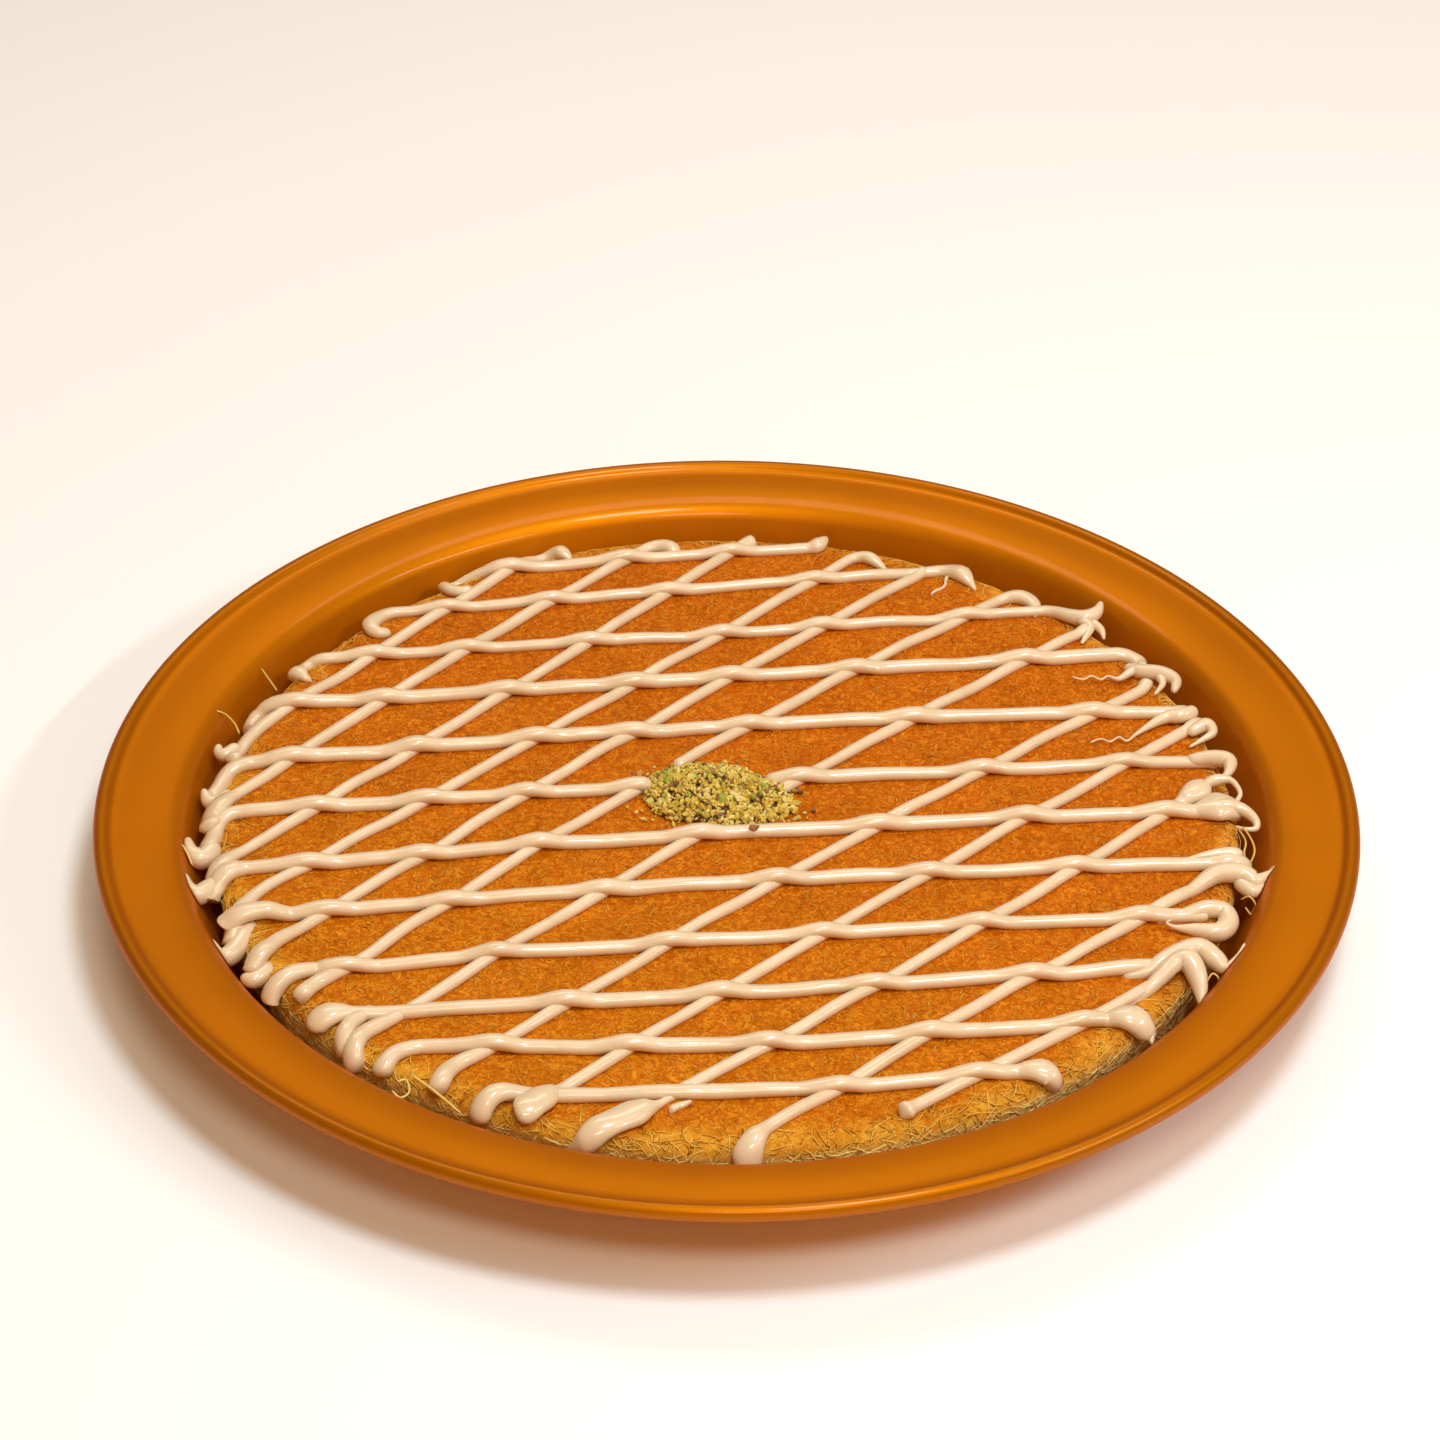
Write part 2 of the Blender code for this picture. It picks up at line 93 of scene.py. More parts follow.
# Drizzle, as shares of a line's width up to LINE_FAT
LINE_HEIGHT = 0.72
LINE_BELLY = 0.30                           # height of its widest place
LINE_FOOT = 0.42                            # a free end's underside, below its widest place
LINE_SQUASH = 0.08                          # share of its height that it loses over another
FOOT_RISE = 0.62                            # share of a raised end's lift that its foot follows

# Drizzle, in millimetres
LINE_FAT = 6.0                              # past this width a line grows no taller
LINE_SINK = 0.6                             # its foot lies this deep in the pastry
EDGE_SINK = 0.9                             # and this much deeper on the shoulder
HUMP_RISE = 13.0                            # a long line climbs over this length
HUMP_FALL = 10.0                            # and comes down over this one
HUMP_LEAD = -0.5                            # and its top leads the crossing by this

# Pistachio heap
BITS_ABOVE = 1.5                            # the loose bits stand this much above the mound
MOUND_SINK = 0.4                            # the mound's skin starts this far down
MOUND_FOOT = 0.7                            # and its flat underside lies this far down

# Where the picture's middle lies beside and above the middle of the tray's rim plane, in metres
VIEW_SHIFT = (-0.0022, 0.0227)

# A line lies at an offset from the middle on a compass bearing, bowed by so many millimetres
# 100 mm out, and runs from start to finish. Each end is a chain of bends: degrees turned,
# length, width reached and lift above the pastry. A gap is the stretch under the pistachio.
Line = namedtuple("Line", "offset bearing bow width start finish first last gap", defaults=(None,))

LONG_LINES = (
    Line(-138, 4.5, 6, 4.9, -66, 74, ((15, 10, 6, 1.8), (50, 9, 7.5, 1.6)),
         ((-5, 8, 7.5, 0.6), (-100, 6, 4.5, 0.3))),
    Line(-117, 4, 4.5, 5, -97, 104, ((50, 10, 5.2, 0.8), (15, 6, 7, 1.4)),
         ((-5, 8, 8, 0.8), (-60, 7, 7, 1.4))),
    Line(-93, 6, 0.5, 5, -120, 124, ((10, 8, 8.5, 0.6), (30, 5, 9, 1)), ((0, 5, 5.5, 1),)),
    Line(-67, 6.5, -1.5, 4.7, -130, 138, ((30, 10, 5.5, 0.8), (20, 12, 7, 2.2)),
         ((5, 3, 5.2, 0.6),)),
    Line(-39, 6, -2, 5, -137, 145, ((0, 9, 6, 2), (10, 9, 8, 1.8), (10, 5, 8.5, 3.2)),
         ((0, 14, 6.5, 1.8),)),
    Line(-14, 6.5, -1.5, 5.1, -152, 147, ((35, 8, 8, 0.6), (35, 8, 10, 1.8), (10, 3, 9, 2.8)),
         ((0, 8, 13, 1.5), (-20, 7, 7, 1))),
    Line(13.5, 6, -1, 4.8, -154, 154, ((75, 10, 5, 0.5), (0, 12, 6.6, 1.8)), ((-15, 7, 6.5, 1.2),),
         gap=(-22, 13)),
    Line(44, 6.25, -2.5, 5.2, -148, 151, ((60, 13, 5.2, 0.6), (0, 10, 5.5, 2)),
         ((-30, 6, 7, 0.3),)),
    Line(72, 7, -0.5, 5.1, -144, 140, ((30, 7, 8.5, 0.4), (20, 3, 8, 0.6)), ((-70, 10, 6, 0.6),)),
    Line(98.5, 7.5, 0.5, 4.3, -126, 120, ((100, 11, 5.5, 0.4), (60, 6, 2, 0)),
         ((-45, 8, 4.8, 0.3),)),
    Line(126, 9, 0, 4.3, -94, 93, ((75, 13, 5.5, 0), (150, 9, 3.5, 0)),
         ((-55, 9, 6, 0.5), (-20, 9, 1.5, 0))),
    Line(148, 8.5, -2, 4.3, -72, 50, ((210, 22, 4, 0.8),), ((0, 3, 6, 0), (95, 7, 1.5, 3))),
)
CROSS_LINES = (
    Line(-148, 37.5, 2, 4.3, -44, 46, ((10, 6, 7, 0.3),), ((0, 4, 4.6, 0.4),)),
    Line(-123.5, 40.5, -2, 4.3, -90, 84, ((35, 15, 10, 0),), ((0, 4, 4.6, 0.4),)),
    Line(-96, 42, 2, 4.2, -99, 108,
         ((0, 10, 2.5, 0), (-10, 11, 10, 0.5), (-2, 11, 7.5, 0.8), (-12, 13, 1, 0.8)),
         ((0, 10, 9, 1), (50, 7, 2, 1))),
    Line(-67, 42.75, -1, 4.1, -128, 140, ((5, 8, 9.5, 0.8), (-10, 9, 10.5, 0.8)),
         ((-10, 8, 7.5, 1),)),
    Line(-38.5, 42.5, -2, 4.1, -134, 146, ((-5, 8, 5, 0.3), (50, 14, 6.5, 1.4)),
         ((30, 6, 5, 0.5),)),
    Line(-4.5, 43.75, -2, 4.1, -138, 154, ((0, 15, 5, 0.3), (60, 14, 6.5, 0.4)),
         ((-20, 6, 6, 0.8),), gap=(-10, 17)),
    Line(27.5, 44.75, -3, 4.1, -140, 150, ((0, 10, 5, 0.2), (25, 9, 5.5, 0.8)),
         ((-65, 9, 5, 0.8), (-90, 12, 3.5, 0.3)), gap=(-11, 3)),
    Line(50.5, 45.75, -1, 4.1, -135, 143, ((10, 12, 5, 0.8), (10, 8, 6, 1.4), (-20, 5, 6.5, 2.6)),
         ((0, 5, 4.5, 0.5),)),
    Line(70.5, 45.75, 0.5, 4, -130, 133, ((40, 20, 5.5, 0.3), (-10, 7, 6.2, 2)),
         ((-80, 8, 5, 0.5), (-20, 9, 1.5, 0))),
    Line(96.5, 49, 1, 4.1, -119, 116, ((20, 11, 5.5, 1), (10, 12, 6.2, 2.6)), ((-40, 9, 6, 0.5),)),
    Line(124, 49, -3.5, 4.2, -98, 94, ((20, 13, 7, 1.3), (30, 8, 8, 2.6)),
         ((-90, 11, 5.5, 0.5), (-30, 6, 2, 0))),
    Line(145.5, 51, -1, 4.1, -58, 72, ((25, 18, 4, 0.8), (5, 9, 4.6, 2.2)),
         ((-80, 10, 5.5, 0.5), (-40, 6, 2, 0))),
)


# Colours and nodes

MULTIPLY = {"data_type": "RGBA", "blend_type": "MULTIPLY"}
SMOOTH = {"interpolation_type": "SMOOTHSTEP"}


def linear(code):
    """An sRGB hex colour as linear red, green and blue."""
    parts = [int(code[i:i + 2], 16) / 255 for i in (0, 2, 4)]
    return tuple(p / 12.92 if p <= 0.04045 else ((p + 0.055) / 1.055) ** 2.4 for p in parts)


def tones(codes):
    """Several sRGB hex colours at once."""
    return tuple(linear(code) for code in codes.split())


def fill(tree, node, sockets):
    """Give each named socket its value, or link it to the output that it takes."""
    for name, value in sockets.items():
        socket = node.inputs[name]
        if isinstance(value, bpy.types.NodeSocket):
            tree.links.new(value, socket)
        else:
            socket.default_value = (*value, 1.0) if socket.type == "RGBA" else value


def add(tree, kind, sockets=None, out=0, stops=(), **settings):
    """One node with its settings, sockets and a ramp's stops. Its output comes back."""
    made = tree.nodes.new("ShaderNode" + kind)
    for name, value in settings.items():
        setattr(made, name, value)
    fill(tree, made, sockets or {})
    if stops:
        ramp = made.color_ramp.elements
        while len(ramp) < len(stops):
            ramp.new(0.5)
        for element, (place, colour) in zip(ramp, stops):
            element.position = place
            element.color = (*colour, 1.0)
    return made.outputs[out]


def wire(made, sockets):
    """Set or link sockets of a material's Principled shader."""
    fill(made.node_tree, made.node_tree.nodes["Principled BSDF"], sockets)
    return made


def finish(name, constants):
    """A new material with its shader's constant values, and the function that adds its nodes."""
    made = bpy.data.materials.new(name)
    made.use_nodes = True
    return wire(made, constants), partial(add, made.node_tree)


def per_mm(size):
    """A texture's scale, in metres, for features of this many millimetres."""
    return 1 / (size * MM)


def from_axis(put, place):
    """How far a place is from the upright axis, and how high."""
    apart = put("SeparateXYZ", {"Vector": place}).node.outputs
    flat = put("CombineXYZ", {"X": apart["X"], "Y": apart["Y"]})
    return put("VectorMath", {0: flat}, "Value", operation="LENGTH"), apart["Z"]


def lacquered_aluminium(colour, roughness):
    """Spun aluminium under clear orange-gold lacquer: a satin metal glow that pales to soft
    streaks on the bends, slightly mottled, with fine rings from the spinning."""
    made, put = finish("lacquered_aluminium_satin", {
        "Metallic": 0.6, "Specular Tint": linear("FFA232"), "Coat Weight": 0.15,
        "Coat Roughness": 0.08})
    place = put("TexCoord", out="Object")
    cloud = put("TexNoise", {"Vector": place, "Scale": per_mm(60), "Detail": 2.0}, "Fac")
    tone = put("ValToRGB", {"Fac": cloud}, stops=(
        (0.3, [c * 0.93 for c in colour]), (0.7, [min(1, c * 1.05) for c in colour])))
    # Painted shade: the colour darkens to four fifths over the rolled edge, for the shade on the
    # bead's outer side
    reach, _ = from_axis(put, place)
    painted_edge_shade = put("MapRange", {"Value": reach, "From Min": 0.1935, "From Max": 0.1960,
                              "To Min": 1.0, "To Max": 0.80})
    tone_and_edge_shade = put("Mix", {"Factor": 1.0, 6: tone, 7: painted_edge_shade}, 2, **MULTIPLY)
    rub = put("TexNoise", {"Vector": place, "Scale": per_mm(9), "Detail": 4.0}, "Fac")
    rough = put("MapRange", {"Value": rub, "To Min": roughness - 0.04,
                             "To Max": roughness + 0.06})
    # Spinning marks: rings round the axis about half a millimetre apart
    rings = put("TexNoise", {"W": reach, "Scale": per_mm(0.5)}, "Fac", noise_dimensions="1D")
    bump = put("Bump", {"Height": rings, "Strength": 0.05, "Distance": 0.05 * MM})
    return wire(made, {"Base Color": tone_and_edge_shade, "Roughness": rough, "Normal": bump})


def crust(name, shades, roughness, per_strand):
    """Shredded pastry baked crisp and soaked in syrup: deep orange with lighter threads, a thin
    wet shine in patches, yellower where it thins to the rim and pale down the side. The shades
    are dark, middle and light for the top, the rim and the side."""
    made, put = finish(name, {"Specular IOR Level": 0.15, "Specular Tint": linear("FFB050")})
    place = put("TexCoord", out="Object")
    reach, height = from_axis(put, place)
    patch = put("TexNoise", {"Vector": place, "Scale": per_mm(16), "Detail": 3.0}, "Fac")
    ragged = put("Math", {0: patch, 1: 0.5}, operation="SUBTRACT")
    shifted = put("Math", {0: ragged, 1: 22 * MM, 2: reach}, operation="MULTIPLY_ADD")
    rim = put("MapRange", {"Value": shifted, "From Min": 0.151, "From Max": 0.164}, **SMOOTH)
    low = put("MapRange", {"Value": height, "From Min": 0.0225, "From Max": 0.0170}, **SMOOTH)
    linked = {}
    if per_strand:
        # Every strand takes its own shade
        grain, spread = put("NewGeometry", out="Random Per Island"), (0.0, 0.5, 1.0)
    else:
        # Threads about 0.7 mm wide, drawn as the bends of a distorted noise
        worm = put("TexNoise", {"Vector": place, "Scale": per_mm(2.2), "Detail": 2.0,
                                "Distortion": 1.6}, "Fac")
        tangle = put("TexNoise", {"Vector": place, "Scale": per_mm(3.4), "Detail": 1.0,
                                  "Distortion": 2.4}, "Fac")
        off = put("Math", {0: tangle, 1: 0.5}, operation="SUBTRACT")
        away = put("Math", {0: off}, operation="ABSOLUTE")
        thread = put("MapRange", {"Value": away, "From Min": 0.035, "From Max": 0.0,
                                  "To Min": 0.0, "To Max": 0.26}, **SMOOTH)
        grain, spread = put("Math", {0: worm, 1: thread}), (0.25, 0.5, 0.75)
        linked["Normal"] = put("Bump", {"Height": grain, "Strength": 0.6, "Distance": 0.4 * MM})
    top, edge, side = (put("ValToRGB", {"Fac": grain}, stops=tuple(zip(spread, three)))
                       for three in shades)
    warm = put("Mix", {"Factor": rim, 6: top, 7: edge}, 2, data_type="RGBA")
    whole = put("Mix", {"Factor": low, 6: warm, 7: side}, 2, data_type="RGBA")
    mottle = put("MapRange", {"Value": patch, "From Min": 0.3, "From Max": 0.7,
                              "To Min": 0.90, "To Max": 1.08})
    mottled = put("Mix", {"Factor": 1.0, 6: whole, 7: mottle}, 2, **MULTIPLY)
    # Deeper and redder towards the back and right, yellower towards the front
    back = put("VectorMath", {0: place, 1: (0.45, 0.89, 0.0)}, "Value", operation="DOT_PRODUCT")
    back_share = put("MapRange", {"Value": back, "From Min": -0.13, "From Max": 0.05}, **SMOOTH)
    back_tint = put("ValToRGB", {"Fac": back_share}, stops=(
        (0.0, (0.94, 1.0, 0.7)), (1.0, (0.93, 0.84, 0.6))))
    shaded = put("Mix", {"Factor": 1.0, 6: mottled, 7: back_tint}, 2, **MULTIPLY)
    wet = put("MapRange", {"Value": patch, "From Min": 0.35, "From Max": 0.65,
                           "To Min": roughness + 0.12, "To Max": roughness - 0.12})
    return wire(made, {"Base Color": shaded, "Roughness": wet, **linked})


def piped_cream(colour, shade):
    """Cooked cream piped warm: ivory with a faint tan cast, soft and slightly translucent, with
    a set skin that takes small crisp glints."""
    made, put = finish("piped_cream_glossy", {
        "Subsurface Weight": 0.25, "Subsurface Radius": (2.0, 1.4, 0.8),
        "Subsurface Scale": 0.8 * MM, "Specular IOR Level": 0.45,
        "Coat Weight": 1.0, "Coat Roughness": 0.08, "Coat IOR": 1.42})
    place = put("TexCoord", out="Object")
    cloud = put("TexNoise", {"Vector": place, "Scale": per_mm(14), "Detail": 3.0}, "Fac")
    tone = put("ValToRGB", {"Fac": cloud}, stops=((0.3, shade), (0.65, colour)))
    skin = put("TexNoise", {"Vector": place, "Scale": per_mm(1.6), "Detail": 2.0}, "Fac")
    bump = put("Bump", {"Height": skin, "Strength": 0.4, "Distance": 0.12 * MM})
    rough = put("MapRange", {"Value": cloud, "To Min": 0.30, "To Max": 0.48})
    return wire(made, {"Base Color": tone, "Roughness": rough, "Normal": bump})


def nut(name, shades):
    """Raw pistachio chopped small: dry, waxy, cut faces paler than the outside."""
    made, put = finish(name, {
        "Roughness": 0.55, "Subsurface Weight": 0.1, "Subsurface Radius": (1.0, 1.0, 0.3),
        "Subsurface Scale": 0.5 * MM, "Specular IOR Level": 0.3})
    ramp = put("ValToRGB", {"Fac": put("NewGeometry", out="Random Per Island")},
               stops=[(i / (len(shades) - 1), tone) for i, tone in enumerate(shades)])
    speck = put("TexNoise", {"Vector": put("TexCoord", out="Object"), "Scale": per_mm(0.9),
                             "Detail": 2.0}, "Fac")
    vary = put("MapRange", {"Value": speck, "From Min": 0.3, "From Max": 0.7,
                            "To Min": 0.72, "To Max": 1.15})
    shaded = put("Mix", {"Factor": 1.0, 6: ramp, 7: vary}, 2, **MULTIPLY)
    bump = put("Bump", {"Height": speck, "Strength": 0.5, "Distance": 0.2 * MM})
    return wire(made, {"Base Color": shaded, "Normal": bump})


def studio_floor(colour):
    """Matt white laminate: nearly even, with the faintest cloudiness."""
    made, put = finish("floor_white_laminate", {"Roughness": 0.6, "Specular IOR Level": 0.2})
    cloud = put("TexNoise", {"Vector": put("TexCoord", out="Object"), "Scale": per_mm(400)},
                "Fac")
    tone = put("ValToRGB", {"Fac": cloud}, stops=((0.2, [c * 0.985 for c in colour]),
                                                  (0.8, colour)))
    return wire(made, {"Base Color": tone})


# Meshes

def add_piece(name, points, faces, material, slot=None, replaced=None, smooth=True):
    """A piece from points in millimetres and arrays of faces, riding on the tray's body."""
    mesh = bpy.data.meshes.new(name)
    corners = np.concatenate([np.asarray(f).ravel() for f in faces]).astype(np.int32)
    counts = np.concatenate([np.full(len(f), np.asarray(f).shape[1]) for f in faces])
    mesh.vertices.add(len(points))
    mesh.vertices.foreach_set("co", (np.asarray(points) * MM).astype(np.float32).ravel())
    mesh.loops.add(len(corners))
    mesh.loops.foreach_set("vertex_index", corners)
    mesh.polygons.add(len(counts))
    mesh.polygons.foreach_set("loop_start", (np.cumsum(counts) - counts).astype(np.int32))
    mesh.polygons.foreach_set("use_smooth", np.full(len(counts), smooth))
    mesh.update(calc_edges=True)
    mesh.validate()
    mesh.materials.append(material)
    made = bpy.data.objects.new(name, mesh)
    bpy.context.scene.collection.objects.link(made)
    if replaced:
        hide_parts(replaced)
    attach(made, "root")


def ring_faces(rings, sides):
    """Quads between neighbouring rings of points, facing outwards for rings that run upwards."""
    here = np.arange(rings - 1)[:, None] * sides
    there = here + sides
    side = np.arange(sides)[None, :]
    beside = (side + 1) % sides
    return np.stack([here + side, here + beside, there + beside, there + side], -1).reshape(-1, 4)


def fan(tip, start, sides, upwards=True):
    """Triangles from one point to each side of the ring of points that begins at start."""
    side = start + np.arange(sides)
    beside = start + (np.arange(sides) + 1) % sides
    return np.stack([np.full(sides, tip), *((side, beside) if upwards else (beside, side))], -1)


def unit(vectors):
    return vectors / np.maximum(np.linalg.norm(vectors, axis=-1, keepdims=True), 1e-9)


def strands(points, ups, radii, flat=1.0, apex=90, sides=3):
    """Closed tubes along many short paths of equal length, with a corner up or down."""
    count, rings = points.shape[:2]
    ahead = unit(np.gradient(points, axis=1))
    side = unit(np.cross(ahead, ups))
    up = np.cross(side, ahead)
    turn = np.radians(apex) + 2 * np.pi * np.arange(sides) / sides
    across = np.cos(turn)[:, None] * side[:, :, None] \
        + flat * np.sin(turn)[:, None] * up[:, :, None]
    tube = points[:, :, None] + radii[:, :, None, None] * across
    one = ring_faces(rings, sides)[:, ::-1]
    first = np.arange(count)[:, None, None] * (rings * sides)
    caps = np.stack([np.arange(sides), (rings * sides - 1) - np.arange(sides)])
    return tube.reshape(-1, 3), [(first + one).reshape(-1, 4), (first + caps).reshape(-1, sides)]


def join(parts):
    """Several meshes of points and faces as one."""
    points, faces, start = [], [], 0
    for own_points, own_faces in parts:
        points.append(own_points)
        faces += [f + start for f in own_faces]
        start += len(own_points)
    return np.concatenate(points), faces


# Tray

def arc(centre, radius, first, last, count):
    """Points on an arc in the radius-height plane, angles in degrees from outwards."""
    angles = np.radians(np.linspace(first, last, count))
    return [(centre[0] + radius * math.cos(a), centre[1] + radius * math.sin(a)) for a in angles]


def tray_profile(bead):
    """The sheet's section from the floor, over the rolled edge and back beneath."""
    wall = math.radians(WALL_SLOPE)
    bend_end = 90 + WALL_SLOPE
    bend_start = 90 + CROWN_STEEP
    steep = math.radians(CROWN_STEEP)
    crest = arc(BEND_CENTRE, BEND_RADIUS, bend_start, bend_start, 1)[0]
    crown_centre = (crest[0] + CROWN_RADIUS * math.sin(steep),
                    crest[1] - CROWN_RADIUS * math.cos(steep))
    lower = arc(BEND_CENTRE, BEND_RADIUS, bend_end, bend_end, 1)[0]
    fillet_height = SHEET + FLOOR_FILLET
    drop = lower[1] - (fillet_height - FLOOR_FILLET * math.cos(wall))
    fillet_radius = lower[0] - drop / math.tan(wall) - FLOOR_FILLET * math.sin(wall)
    fillet_centre = (fillet_radius, fillet_height)
    inside = [(r, SHEET) for r in (40, 80, 120, 150)]
    inside += arc(fillet_centre, FLOOR_FILLET, -90, WALL_SLOPE - 90, 6)
    foot, head = inside[-1], lower
    inside += [(foot[0] + (head[0] - foot[0]) * t, foot[1] + (head[1] - foot[1]) * t)
               for t in (0.25, 0.5, 0.75)]
    inside += arc(BEND_CENTRE, BEND_RADIUS, bend_end, bend_start, 14)
    inside += arc(crown_centre, CROWN_RADIUS, bend_start, 90 + CROWN_FLAT, 9)[1:]
    start, end = inside[-1], FLANGE_END
    inside += [(start[0] + (end[0] - start[0]) * t, start[1] + (end[1] - start[1]) * t)
               for t in (0.3, 0.6, 0.9)]
    rolled = arc(BEAD_CENTRE, bead, 158, -150, 26)
    outside = [(FLANGE_END[0], FLANGE_END[1] - SHEET)]
    outside += arc(crown_centre, CROWN_RADIUS - SHEET, 90 + CROWN_FLAT, bend_start, 4)[:-1]
    outside += arc(BEND_CENTRE, BEND_RADIUS - SHEET, bend_start, bend_end, 8)
    outside += arc(fillet_centre, FLOOR_FILLET + SHEET, WALL_SLOPE - 90, -90, 5)
    outside += [(r, 0.0) for r in (150, 120, 80, 40)]
    return np.array(inside + rolled + outside)


def make_tray(sizes):
    """The profile turned about the upright axis, with the spring of a thin flange."""
    profile = tray_profile(sizes.bead_radius / MM)
    sides = sizes.tray_sides
    turn = 2 * np.pi * np.arange(sides) / sides
    reach, height = profile[:, :1], profile[:, 1:]
    # A used tray's flange isn't true: it lifts and dips a few tenths of a millimetre
    share = np.clip((reach - 172) / 27, 0, 1)
    wave = -0.12 + 0.07 * np.sin(2 * turn + 0.6) + 0.05 * np.sin(5 * turn + 2.0)
    rings = np.stack([reach * np.cos(turn), reach * np.sin(turn), height + share * wave], -1)
    points = np.vstack([rings.reshape(-1, 3), [[0, 0, SHEET], [0, 0, 0]]])
    top, bottom = len(points) - 2, len(points) - 1
    caps = np.concatenate([fan(top, 0, sides), fan(bottom, top - sides, sides, False)])
    return points, [ring_faces(len(profile), sides)[:, ::-1], caps]


# Cake

def waves(seed, shortest, longest, count):
    """Directions, phases and heights of random waves that add up to an uneven surface."""
    draw = np.random.default_rng(seed)
    length = draw.uniform(shortest, longest, count)
    course = draw.uniform(0, 2 * np.pi, count)
    return (2 * np.pi / length * np.cos(course), 2 * np.pi / length * np.sin(course),
            draw.uniform(0, 2 * np.pi, count), math.sqrt(2 / count))


BROAD = waves(11, 22, 70, 12)
CLUMPS = waves(12, 4.5, 9, 36)
CRUMBS = waves(13, 2.2, 4, 48)


def uneven(spectrum, x, y):
    """Height of the random waves at places in plan, with a spread of about one."""
    along_x, along_y, phase, height = spectrum
    total = np.zeros_like(x, float)
    for a, b, p in zip(along_x, along_y, phase):
        total += np.sin(a * x + b * y + p)
    return total * height


def skin_relief(x, y):
    """Height of the clumps and crumbs in the cake's skin."""
    return SKIN_RELIEF * uneven(CLUMPS, x, y) + SKIN_RELIEF * uneven(CRUMBS, x, y)


def wrap(x, y, lift, free=0.0):
    """Places on the unrolled cake wrapped over its shoulder and raised, and the way up there.
    What is free, up to 1, stands out from the shoulder instead of following it down."""
    reach = np.maximum(np.hypot(x, y), 1e-6)
    turn = np.clip((reach - SHOULDER_START) / SHOULDER_ROUND, 0, math.pi / 2)
    turn = turn * (1 - STAND_OUT * free)
    down = np.maximum(reach - SHOULDER_START - QUARTER, 0) * (1 - free)
    swell = SWELL * uneven(BROAD, x, y)
    off = lift + swell * np.cos(turn)
    radius = np.minimum(reach, SHOULDER_START) + SHOULDER_ROUND * np.sin(turn) + off * np.sin(turn)
    height = PASTRY_TOP - SHOULDER_ROUND * (1 - np.cos(turn)) - down + off * np.cos(turn)
    # The side leans in towards the foot
    lean = np.clip(down / (PASTRY_TOP - PASTRY_BOTTOM), 0, 1)
    radius = radius - lean * (SHOULDER_START + SHOULDER_ROUND - PASTRY_FOOT)
    points = np.stack([x / reach * radius, y / reach * radius, height], -1)
    ups = np.stack([x / reach * np.sin(turn), y / reach * np.sin(turn), np.cos(turn)], -1)
    return points, ups


def make_cake():
    """The cake under its loose strands: a dense skin of clumps, pits and frayed side."""
    step = 1.3
    rings = int(SHOULDER_START / step)
    sides = 6 * rings
    x, y = [np.zeros(1)], [np.zeros(1)]
    faces = []
    start = 0
    for k in range(1, rings + 1):
        turn = 2 * np.pi * np.arange(6 * k) / (6 * k)
        reach = step * k if k < rings else SHOULDER_START
        x.append(reach * np.cos(turn))
        y.append(reach * np.sin(turn))
        inner, outer = start, start + max(1, 6 * (k - 1))
        j = np.arange(6 * k)
        sector, place = j // k, j % k
        inner_count = max(1, 6 * (k - 1))
        inward = inner + (sector * (k - 1) + place) % inner_count
        faces.append(np.stack([inward, outer + j, outer + (j + 1) % (6 * k)], -1))
        keep = place > 0
        back = inner + (sector * (k - 1) + place - 1) % inner_count
        faces.append(np.stack([back, outer + j, inward], -1)[keep])
        start = outer
    last_ring = start
    drop = list(np.linspace(0, QUARTER, 7)[1:]) + list(QUARTER + np.linspace(0, SIDE_DROP, 15)[1:])
    turn = 2 * np.pi * np.arange(sides) / sides
    for d in drop:
        x.append((SHOULDER_START + d) * np.cos(turn))
        y.append((SHOULDER_START + d) * np.sin(turn))
    x, y = np.concatenate(x), np.concatenate(y)
    relief = skin_relief(x, y)
    edge = np.clip((np.hypot(x, y) - 150) / 12, 0, 1)
    relief = relief * (1 + 1.6 * edge) - 0.12 * edge
    points, _ = wrap(x, y, relief)
    points[-sides:, 2] = PASTRY_BOTTOM
    quads = ring_faces(len(drop) + 1, sides) + last_ring
    bottom = len(points)
    points = np.vstack([points, [[0, 0, PASTRY_BOTTOM]]])
    under = fan(bottom, bottom - sides, sides, False)
    return points, [np.concatenate(faces), quads[:, ::-1], under]


def short_paths(draw, count, rings, reach, length, curl):
    """Plan places of short curved strands: scattered evenly between two distances out."""
    start = np.sqrt(draw.uniform(reach[0] ** 2, reach[1] ** 2, count))
    turn = draw.uniform(0, 2 * np.pi, count)
    heading = draw.uniform(0, 2 * np.pi, count)
    bend = draw.normal(0, curl, count)
    twist = draw.normal(0, curl * 0.6, count)
    step = draw.uniform(*length, count) / (rings - 1)
    x, y = [start * np.cos(turn)], [start * np.sin(turn)]
    for ring in range(1, rings):
        share = ring / (rings - 1)
        heading = heading + (bend + twist * (2 * share - 1) * 2) / (rings - 1)
        x.append(x[-1] + step * np.cos(heading))
        y.append(y[-1] + step * np.sin(heading))
    return np.stack(x, 1), np.stack(y, 1)


def top_strands(seed, count, width):
    """Short threads lying flat in the syrup all over the top."""
    draw = np.random.default_rng(seed)
    rings = 4
    x, y = short_paths(draw, count, rings, (0, SHOULDER_START + 3), (1.8, 5.2), 1.3)
    radii = draw.uniform(0.75, 1.25, (count, 1)) * width / 2 * np.array([[0.55, 1, 1, 0.55]])
    high = draw.uniform(-0.06, 0.07, (count, 1)) \
        + 0.06 * uneven(BROAD, 2.3 * x[:, :1], 2.3 * y[:, :1])
    # Both ends dip into the skin
    lift = skin_relief(x, y) + high - 0.12 * np.array([[1, 0, 0, 1]])
    points, ups = wrap(x, y, lift)
    return strands(points, ups, radii, flat=0.35, apex=-90)


